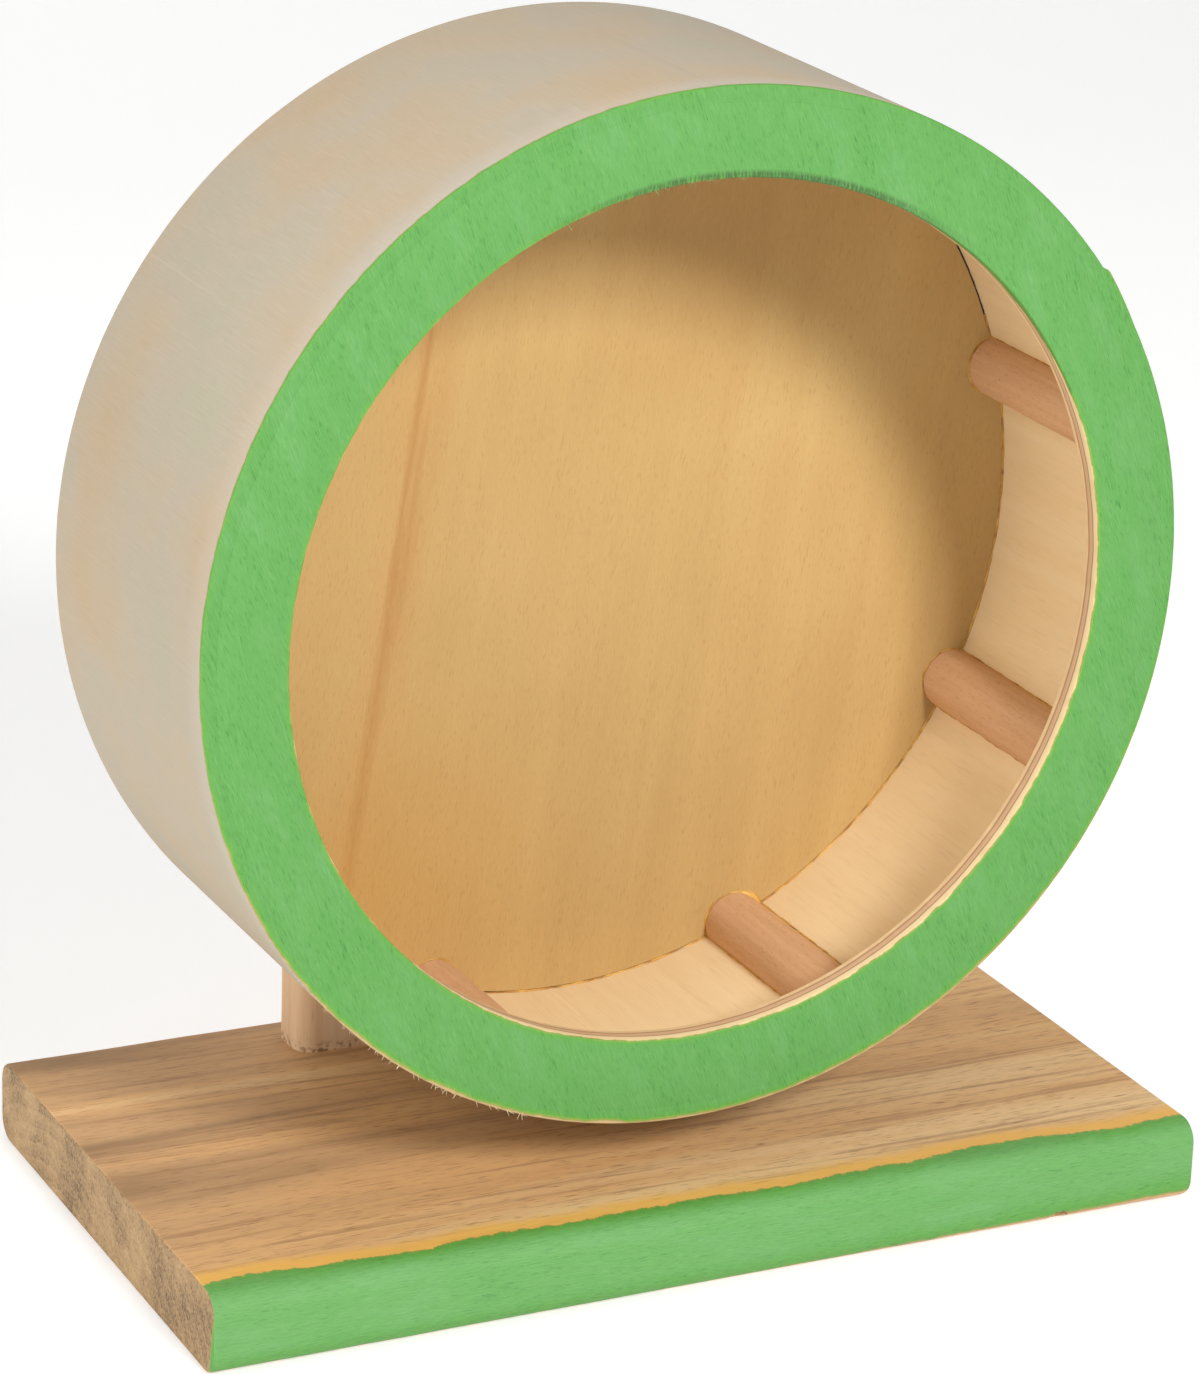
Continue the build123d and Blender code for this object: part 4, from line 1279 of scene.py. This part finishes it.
end_wood = add(t, "ShaderNodeValToRGB", {0: sum_up}, stops=[
    (0.40, "574330"), (0.49, "866b4a"), (0.59, "a5865d"), (0.72, "b8986c")])
facing = add(t, "ShaderNodeTexCoord").outputs["Normal"]
side_on = add(t, "ShaderNodeSeparateXYZ", {0: facing}).outputs["X"]
side_on = add(t, "ShaderNodeMath", {0: side_on}, operation="ABSOLUTE")
side_on = add(t, "ShaderNodeMapRange", {0: side_on, 1: 0.55, 2: 0.8})
body = add(t, "ShaderNodeMix", {0: side_on, 6: body, 7: end_wood}, data_type="RGBA")
print("pine with end grain:", len(t.nodes), "nodes")

# %% [markdown]
# ### The coat on the front edge
#
# Two borders are drawn, one that wanders slowly and one that shakes quickly, as
# a hand does, and the coat lies where both leave room. On the sawn ends only a
# thin paint line at the front corner is left.

# %% The coat on the front edge
depth_mm = add(t, "ShaderNodeMath", {0: xyz["Y"], 1: -1000.0}, operation="MULTIPLY")
depth_mm = add(
    t, "ShaderNodeMath", {0: depth_mm, 1: -1000 * base_low.y - 4.5}, operation="SUBTRACT")
height_mm = add(t, "ShaderNodeMath", {0: xyz["Z"], 1: 1000.0}, operation="MULTIPLY")
below_top = add(t, "ShaderNodeMath", {0: 1000 * base_high.z, 1: height_mm}, operation="SUBTRACT")
down = add(t, "ShaderNodeMath", {0: depth_mm, 1: below_top}, operation="ADD")
slow_hand = add(t, "ShaderNodeMapping", {"Vector": here, "Scale": (26.0, 0.0, 0.0)})
slow_hand = add(t, "ShaderNodeTexNoise", {"Vector": slow_hand, "Scale": 1.0, "Detail": 1.0})
slow_hand = add(t, "ShaderNodeMapRange", {0: slow_hand.outputs[0], 1: 0.2, 2: 0.8, 3: -1.6, 4: 3.6})
quick_hand = add(t, "ShaderNodeMapping", {"Vector": here, "Scale": (300.0, 120.0, 120.0)})
quick_hand = add(
    t, "ShaderNodeTexNoise", {"Vector": quick_hand, "Scale": 1.0, "Detail": 5.0, "Roughness": 0.75})
quick_hand = add(
    t, "ShaderNodeMapRange", {0: quick_hand.outputs[0], 1: 0.25, 2: 0.75, 3: -1.0, 4: 1.0})
border = add(t, "ShaderNodeMath", {0: slow_hand, 1: quick_hand}, operation="ADD")
upper = add(t, "ShaderNodeMath", {0: down, 1: border}, operation="ADD")
stops_at = add(t, "ShaderNodeMapRange", {0: xyz["X"], 1: -0.02, 2: 0.1, 3: 0.3, 4: 2.0})
lower = add(t, "ShaderNodeMath", {0: height_mm, 1: stops_at}, operation="SUBTRACT")
half_hand = add(t, "ShaderNodeMath", {0: quick_hand, 1: 0.5}, operation="MULTIPLY")
lower = add(t, "ShaderNodeMath", {0: lower, 1: half_hand}, operation="ADD")
coat = add(t, "ShaderNodeMath", {0: upper, 1: lower}, operation="MINIMUM")
from_corner = add(t, "ShaderNodeMapRange", {0: height_mm, 1: 2.0, 2: 14.0, 3: 0.2, 4: 2.4})
front_only = add(t, "ShaderNodeMath", {0: depth_mm, 1: 2.2}, operation="SUBTRACT")
front_only = add(t, "ShaderNodeMath", {0: front_only, 1: from_corner}, operation="SUBTRACT")
kept_off = add(t, "ShaderNodeMix", {0: side_on, 2: coat, 3: front_only}, data_type="FLOAT")
coat = add(t, "ShaderNodeMath", {0: coat, 1: kept_off}, operation="MINIMUM")

soak = add(t, "ShaderNodeMath", {0: down, 1: border}, operation="ADD")
soak = add(t, "ShaderNodeMath", {0: soak, 1: 3.9}, operation="ADD")
soak = add(t, "ShaderNodeMapRange", {0: soak, 1: -1.6, 2: 1.6, 4: 0.8})
off_end = add(t, "ShaderNodeMath", {0: 1.0, 1: side_on}, operation="SUBTRACT")
soak = add(t, "ShaderNodeMath", {0: soak, 1: off_end}, operation="MULTIPLY")
by_the_top = add(t, "ShaderNodeMapRange", {0: height_mm, 1: 6.0, 2: 9.0})
soak = add(t, "ShaderNodeMath", {0: soak, 1: by_the_top}, operation="MULTIPLY")
body = add(t, "ShaderNodeMix", {0: soak, 6: body, 7: linear("dfa948")}, data_type="RGBA")
paint = add(t, "ShaderNodeGroup", {"Grain": here, "Inside": coat, "Bare": body, "Thin width": 4.0},
            node_tree=brushed_paint)
thick_coat = add(t, "ShaderNodeMapRange", {0: coat, 1: 1.0, 2: 5.0, 4: 0.14})
paler = add(
    t, "ShaderNodeMix", {0: thick_coat, 6: paint.outputs["Colour"], 7: linear("93c484")},
    data_type="RGBA")
t.links.new(paler.outputs[2], shader.inputs["Base Color"])
dull = add(t, "ShaderNodeMapRange", {0: paint.outputs["Relief"], 1: 0.0, 2: 2.0, 3: 0.68, 4: 0.48})
t.links.new(dull.outputs[0], shader.inputs["Roughness"])
grooves = add(t, "ShaderNodeMath", {0: figure["Fleck"], 1: -0.8}, operation="MULTIPLY")
grooves = add(t, "ShaderNodeMath", {0: grooves, 1: paint.outputs["Relief"]}, operation="ADD")
dents = add(t, "ShaderNodeBump", {"Strength": 0.5, "Distance": 0.00015, "Height": grooves})
t.links.new(dents.outputs[0], shader.inputs["Normal"])
shader.inputs["Specular IOR Level"].default_value = 0.35
base_board.data.materials.clear()
base_board.data.materials.append(pine)
belongs(base_board, "stand", "base_board", slot="base_pine")

# %% [markdown]
# ## Upright
#
# The upright is a board that stands on the base behind the wheel. Its top is a
# half circle about the axle and all its long edges are rounded. Each loop of
# points follows the outline at a certain inset, from the front face over the
# rounded edge, along the side and over to the back, so the faces between loops
# are regular. The foot is cut square and rests on the base.

# %% Draw the upright
def upright_loop(shape, y, inset, half_width, foot):
    """Points from the foot's left end over the arch to its right end."""
    reach = half_width - inset
    spots = [(-reach, foot + (axle_height - foot) * step / 20) for step in range(20)]
    for step in range(97):
        turn = math.radians(180 - 180 * step / 96)
        spots.append((reach * math.cos(turn), axle_height + reach * math.sin(turn)))
    spots += [(reach, axle_height - (axle_height - foot) * step / 20) for step in range(1, 21)]
    return [shape.verts.new((x, y, z)) for x, z in spots]


def draw_upright(name, low, high, radius):
    """The upright, closed on every side."""
    half_width = high.x
    levels = [(low.y, radius + 0.5 * mm), (low.y, radius)]
    for step in range(1, 11):
        turn = math.radians(90 * step / 10)
        levels.append((low.y + radius * (1 - math.cos(turn)), radius * (1 - math.sin(turn))))
    levels += [(low.y + high.y - y, inset) for y, inset in levels[::-1]]
    shape = bmesh.new()
    loops = [upright_loop(shape, y, inset, half_width, low.z) for y, inset in levels]
    for near, far in zip(loops, loops[1:]):
        for i in range(len(near) - 1):
            shape.faces.new((near[i], near[i + 1], far[i + 1], far[i]))
    shape.faces.new(loops[0][::-1])
    shape.faces.new(loops[-1])
    shape.faces.new([loop[0] for loop in loops] + [loop[-1] for loop in loops[::-1]])
    mesh = bpy.data.meshes.new(name)
    shape.to_mesh(mesh)
    shape.free()
    piece = bpy.data.objects.new(name, mesh)
    scene.collection.objects.link(piece)
    tidy(mesh, 14.0)
    return piece


bolt_hole = 3.1 * mm
upright = draw_upright("upright_pine", upright_low, upright_high, radius=4.0 * mm)
before_it = Vector((0, upright_low.y - 1 * mm, axle_height))
drill(upright, [(before_it, (0, 1, 0), [(0.0, bolt_hole), (14.5 * mm, bolt_hole)])])
print("upright:", len(upright.data.polygons), "faces")

# %% [markdown]
# ## Pale pine
#
# The upright is a cleaner, pinker board than the base, with its grain upright.
# Round its foot the fibres were torn by the saw, which leaves small dark specks.

# %% Material: pale planed pine
pale_pine, t, shader, here = new_finish("pale_planed_pine")
grain = add(t, "ShaderNodeMapping", {"Vector": here, "Rotation": (0.0, math.radians(90), 0.0)})
figure = add(t, "ShaderNodeGroup", {
    "Place": grain, "Streak width": 4.0, "Streak length": 130.0,
    "Fleck width": 0.4, "Fleck length": 5.0, "Wander": 6.0}, node_tree=wood_figure).outputs
body = add(t, "ShaderNodeValToRGB", {0: figure["Streak"]},
           stops=[(0.32, "cfaa83"), (0.48, "d6b48e"), (0.66, "dcbe9b")])
mark = add(t, "ShaderNodeMath", {0: figure["Fleck"], 1: 0.25}, operation="MULTIPLY")
body = add(t, "ShaderNodeMix", {0: mark, 6: body, 7: linear("94683f")}, data_type="RGBA")
height = add(t, "ShaderNodeSeparateXYZ", {0: here}).outputs["Z"]
near_foot = add(t, "ShaderNodeMapRange", {
    0: height, 1: upright_low.z, 2: upright_low.z + 2.5 * mm, 3: 1.0, 4: 0.0})
specks = add(t, "ShaderNodeTexNoise", {"Vector": here, "Scale": 900.0, "Detail": 2.0})
specks = add(t, "ShaderNodeMapRange", {0: specks.outputs[0], 1: 0.52, 2: 0.62, 4: 0.8})
torn = add(t, "ShaderNodeMath", {0: near_foot, 1: specks}, operation="MULTIPLY")
body = add(t, "ShaderNodeMix", {0: torn, 6: body, 7: linear("5d4029")}, data_type="RGBA")
t.links.new(body.outputs[2], shader.inputs["Base Color"])
dull = add(t, "ShaderNodeMapRange", {0: figure["Fibre"], 3: 0.6, 4: 0.8})
t.links.new(dull.outputs[0], shader.inputs["Roughness"])
dents = add(t, "ShaderNodeBump", {"Strength": 0.4, "Distance": 0.00012, "Height": figure["Fibre"]})
t.links.new(dents.outputs[0], shader.inputs["Normal"])
shader.inputs["Specular IOR Level"].default_value = 0.3
upright.data.materials.clear()
upright.data.materials.append(pale_pine)
belongs(upright, "stand", "upright", slot="upright_pine")

# %% [markdown]
# ## Hub block
#
# Behind the disc sits a turned block that holds the ball bearing. The hoop tree
# makes it too: its hole is the bearing's seat, and its rear corner is broken.

# %% Hub block
hub_low, hub_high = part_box("hub_block")
bearing_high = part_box("bearing_outer_race")[1]
hub_block = grow(hoop, "hub_block_turned_beech", {
    "Inner radius": bearing_high.x, "Outer radius": hub_high.x,
    "Front": hub_low.y, "Back": hub_high.y, "Axle height": axle_height,
    "Outer back arris": 1.0 * mm, "Inner back arris": 0.2 * mm,
    "Inner front arris": 0.02 * mm, "Outer front arris": 0.02 * mm,
    "Steps": 240, "Wobble": 0.0, "Finish": beech,
})
belongs(hub_block, "wheel", "hub_block", slot="hub_beech")

# %% [markdown]
# ## Steel
#
# The bolt, nut, washers and screws are steel with a thin bright zinc plating: a
# slightly blue-grey metal whose roughness varies in small patches. The bearing's
# steel is hardened and ground, so it is smoother and more mirror-like. The cage
# that spaces the balls is pressed sheet and duller. A metal needs only its
# colour and roughness, and its IOR keeps the default.

# %% Materials: zinc plate, ground bearing steel, pressed cage steel
def metal(name, colour, low, high, grit, depth):
    """A metal whose roughness varies between two values, over patches of this size in mm."""
    finish, t, shader, here = new_finish(name)
    shader.inputs["Base Color"].default_value = linear(colour)
    shader.inputs["Metallic"].default_value = 1.0
    patch = add(t, "ShaderNodeTexNoise", {"Vector": here, "Scale": 1000.0 / grit, "Detail": 4.0})
    rough = add(t, "ShaderNodeMapRange", {0: patch.outputs[0], 1: 0.3, 2: 0.7, 3: low, 4: high})
    t.links.new(rough.outputs[0], shader.inputs["Roughness"])
    dents = add(
        t, "ShaderNodeBump", {"Strength": 0.3, "Distance": depth, "Height": patch.outputs[0]})
    t.links.new(dents.outputs[0], shader.inputs["Normal"])
    return finish


zinc = metal("bright_zinc_plated_steel", "c6cbd0", 0.24, 0.42, 1.2, 0.00002)
ground_steel = metal("ground_bearing_steel", "d2d4d6", 0.08, 0.18, 0.6, 0.000004)
cage_steel = metal("pressed_cage_steel", "b9b4aa", 0.30, 0.45, 1.0, 0.00001)
for node, finish in {
    "base_screws": zinc, "axle_nut": zinc,
    "bearing_inner_race": ground_steel, "bearing_outer_race": ground_steel,
    "bearing_front_shield": zinc, "bearing_rear_shield": zinc,
    "bearing_balls": ground_steel, "bearing_cage": cage_steel,
}.items():
    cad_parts[node].data.materials.clear()
    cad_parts[node].data.materials.append(finish)
print("three metals")

# %% Washer and spacer
for node, name, arris in (
    ("rear_washer", "washer_zinc", 0.25),
    ("spacer_ring", "spacer_zinc", 0.12),
):
    low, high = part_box(node)
    washer = grow(hoop, name, {
        "Inner radius": bolt_hole, "Outer radius": high.x, "Front": low.y, "Back": high.y,
        "Axle height": axle_height, "Outer back arris": arris * mm, "Inner back arris": 0.1 * mm,
        "Inner front arris": 0.1 * mm, "Outer front arris": arris * mm, "Steps": 96, "Finish": zinc,
    })
    belongs(washer, "stand", node, slot="zinc_steel")

# %% [markdown]
# ## Threaded bolt
#
# The end of the bolt stands out behind its nut, so its thread shows. A thread is
# a ridge that winds round a core, one turn per millimetre on this bolt: the
# tree sweeps a small triangle along a spiral. Normals set to Z up turn with the
# spiral and look towards its axis, so a half turn of the triangle makes its
# point look outwards all the way. The head is a hexagon on a thin round land and
# lies out of sight behind the disc.

# %% Tree for a bolt
bolt, given = new_tree("hexagon bolt with a thread", {
    "Head": "Float",
    "Under head": "Float",
    "End": "Float",
    "Thread start": "Float",
    "Radius": "Float",
    "Core radius": "Float",
    "Head radius": "Float",
    "Land radius": "Float",
    "Land": "Float",
    "Chamfer": "Float",
    "Pitch": "Float",
    "Axle height": "Float",
    "Finish": "Material",
})
t = bolt
near = add(t, "ShaderNodeCombineXYZ", {"Z": given["Under head"]})
far = add(t, "ShaderNodeCombineXYZ", {"Z": given["End"]})
axis = add(t, "GeometryNodeCurvePrimitiveLine", {"Start": near, "End": far})
axis = add(t, "GeometryNodeResampleCurve", {"Curve": axis, "Count": 260})
along = add(t, "ShaderNodeSeparateXYZ", {0: add(t, "GeometryNodeInputPosition")}).outputs["Z"]
soon = add(t, "ShaderNodeMath", {0: given["Thread start"], 1: 0.0003}, operation="ADD")
thinner = add(t, "ShaderNodeMapRange", {
    0: along, 1: given["Thread start"], 2: soon, 3: given["Radius"], 4: given["Core radius"]})
bevel_start = add(t, "ShaderNodeMath", {0: given["End"], 1: given["Chamfer"]}, operation="SUBTRACT")
tip = add(t, "ShaderNodeMath", {0: given["Radius"], 1: given["Chamfer"]}, operation="SUBTRACT")
bevel = add(t, "ShaderNodeMapRange", {
    0: along, 1: bevel_start, 2: given["End"], 3: given["Radius"], 4: tip})
turned = add(t, "ShaderNodeMath", {0: thinner, 1: bevel}, operation="MINIMUM")
disc = add(t, "GeometryNodeCurvePrimitiveCircle", {"Resolution": 40, "Radius": 1.0})
core = add(t, "GeometryNodeCurveToMesh", {
    "Curve": axis, "Profile Curve": disc, "Scale": turned, "Fill Caps": True})
threaded = add(
    t, "ShaderNodeMath", {0: bevel_start, 1: given["Thread start"]}, operation="SUBTRACT")
turns = add(t, "ShaderNodeMath", {0: threaded, 1: given["Pitch"]}, operation="DIVIDE")
spiral = add(t, "GeometryNodeCurveSpiral", {
    "Resolution": 40, "Rotations": turns, "Start Radius": given["Core radius"],
    "End Radius": given["Core radius"], "Height": threaded})
spiral = add(t, "GeometryNodeSetCurveNormal", {"Curve": spiral}, mode="Z_UP")
lift = add(t, "ShaderNodeCombineXYZ", {"Z": given["Thread start"]})
spiral = add(t, "GeometryNodeTransform", {"Geometry": spiral, "Translation": lift})
crest = add(
    t, "ShaderNodeMath", {0: given["Radius"], 1: given["Core radius"]}, operation="SUBTRACT")
ridge = add(t, "GeometryNodeCurvePrimitiveCircle", {"Resolution": 3, "Radius": crest})
ridge = add(t, "GeometryNodeTransform", {"Geometry": ridge, "Rotation": (0.0, 0.0, math.pi)})
thread = add(
    t, "GeometryNodeCurveToMesh", {"Curve": spiral, "Profile Curve": ridge, "Fill Caps": True})
parts = t.nodes.new("GeometryNodeJoinGeometry")
land_start = add(
    t, "ShaderNodeMath", {0: given["Under head"], 1: given["Land"]}, operation="SUBTRACT")
for sides, radius, start, stop in (
    (6, given["Head radius"], given["Head"], land_start.outputs[0]),
    (48, given["Land radius"], land_start.outputs[0], given["Under head"]),
):
    tall = add(t, "ShaderNodeMath", {0: stop, 1: start}, operation="SUBTRACT")
    total = add(t, "ShaderNodeMath", {0: stop, 1: start}, operation="ADD")
    centre = add(t, "ShaderNodeMath", {0: total, 1: 0.5}, operation="MULTIPLY")
    block = add(t, "GeometryNodeMeshCylinder", {"Vertices": sides, "Radius": radius, "Depth": tall})
    up = add(t, "ShaderNodeCombineXYZ", {"Z": centre})
    block = add(t, "GeometryNodeTransform", {"Geometry": block.outputs["Mesh"], "Translation": up})
    t.links.new(block.outputs[0], parts.inputs[0])
t.links.new(core.outputs[0], parts.inputs[0])
t.links.new(thread.outputs[0], parts.inputs[0])
stand = add(t, "ShaderNodeCombineXYZ", {"Z": given["Axle height"]})
laid = add(t, "GeometryNodeTransform", {
    "Geometry": parts, "Translation": stand, "Rotation": (math.radians(-90), 0.0, 0.0)})
laid = add(t, "GeometryNodeRealizeInstances", {0: laid})
laid = add(t, "GeometryNodeSetMaterial", {"Geometry": laid, "Material": given["Finish"]})
add(t, "NodeGroupOutput", {"Geometry": laid})
print("bolt tree:", len(t.nodes), "nodes")

# %% Axle bolt
bolt_low, bolt_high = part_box("axle_bolt")
axle_bolt = grow(bolt, "axle_bolt_zinc", {
    "Head": bolt_low.y, "Under head": bolt_low.y + 4 * mm, "End": bolt_high.y,
    "Thread start": upright_low.y + 4 * mm, "Radius": 3 * mm, "Core radius": 2.45 * mm,
    "Head radius": 5 * mm / math.cos(math.radians(30)), "Land radius": 4.7 * mm,
    "Land": 0.4 * mm, "Chamfer": 0.8 * mm, "Pitch": 1 * mm, "Axle height": axle_height,
    "Finish": zinc,
}, smooth_below=35.0)
belongs(axle_bolt, "stand", "axle_bolt", slot="zinc_steel")
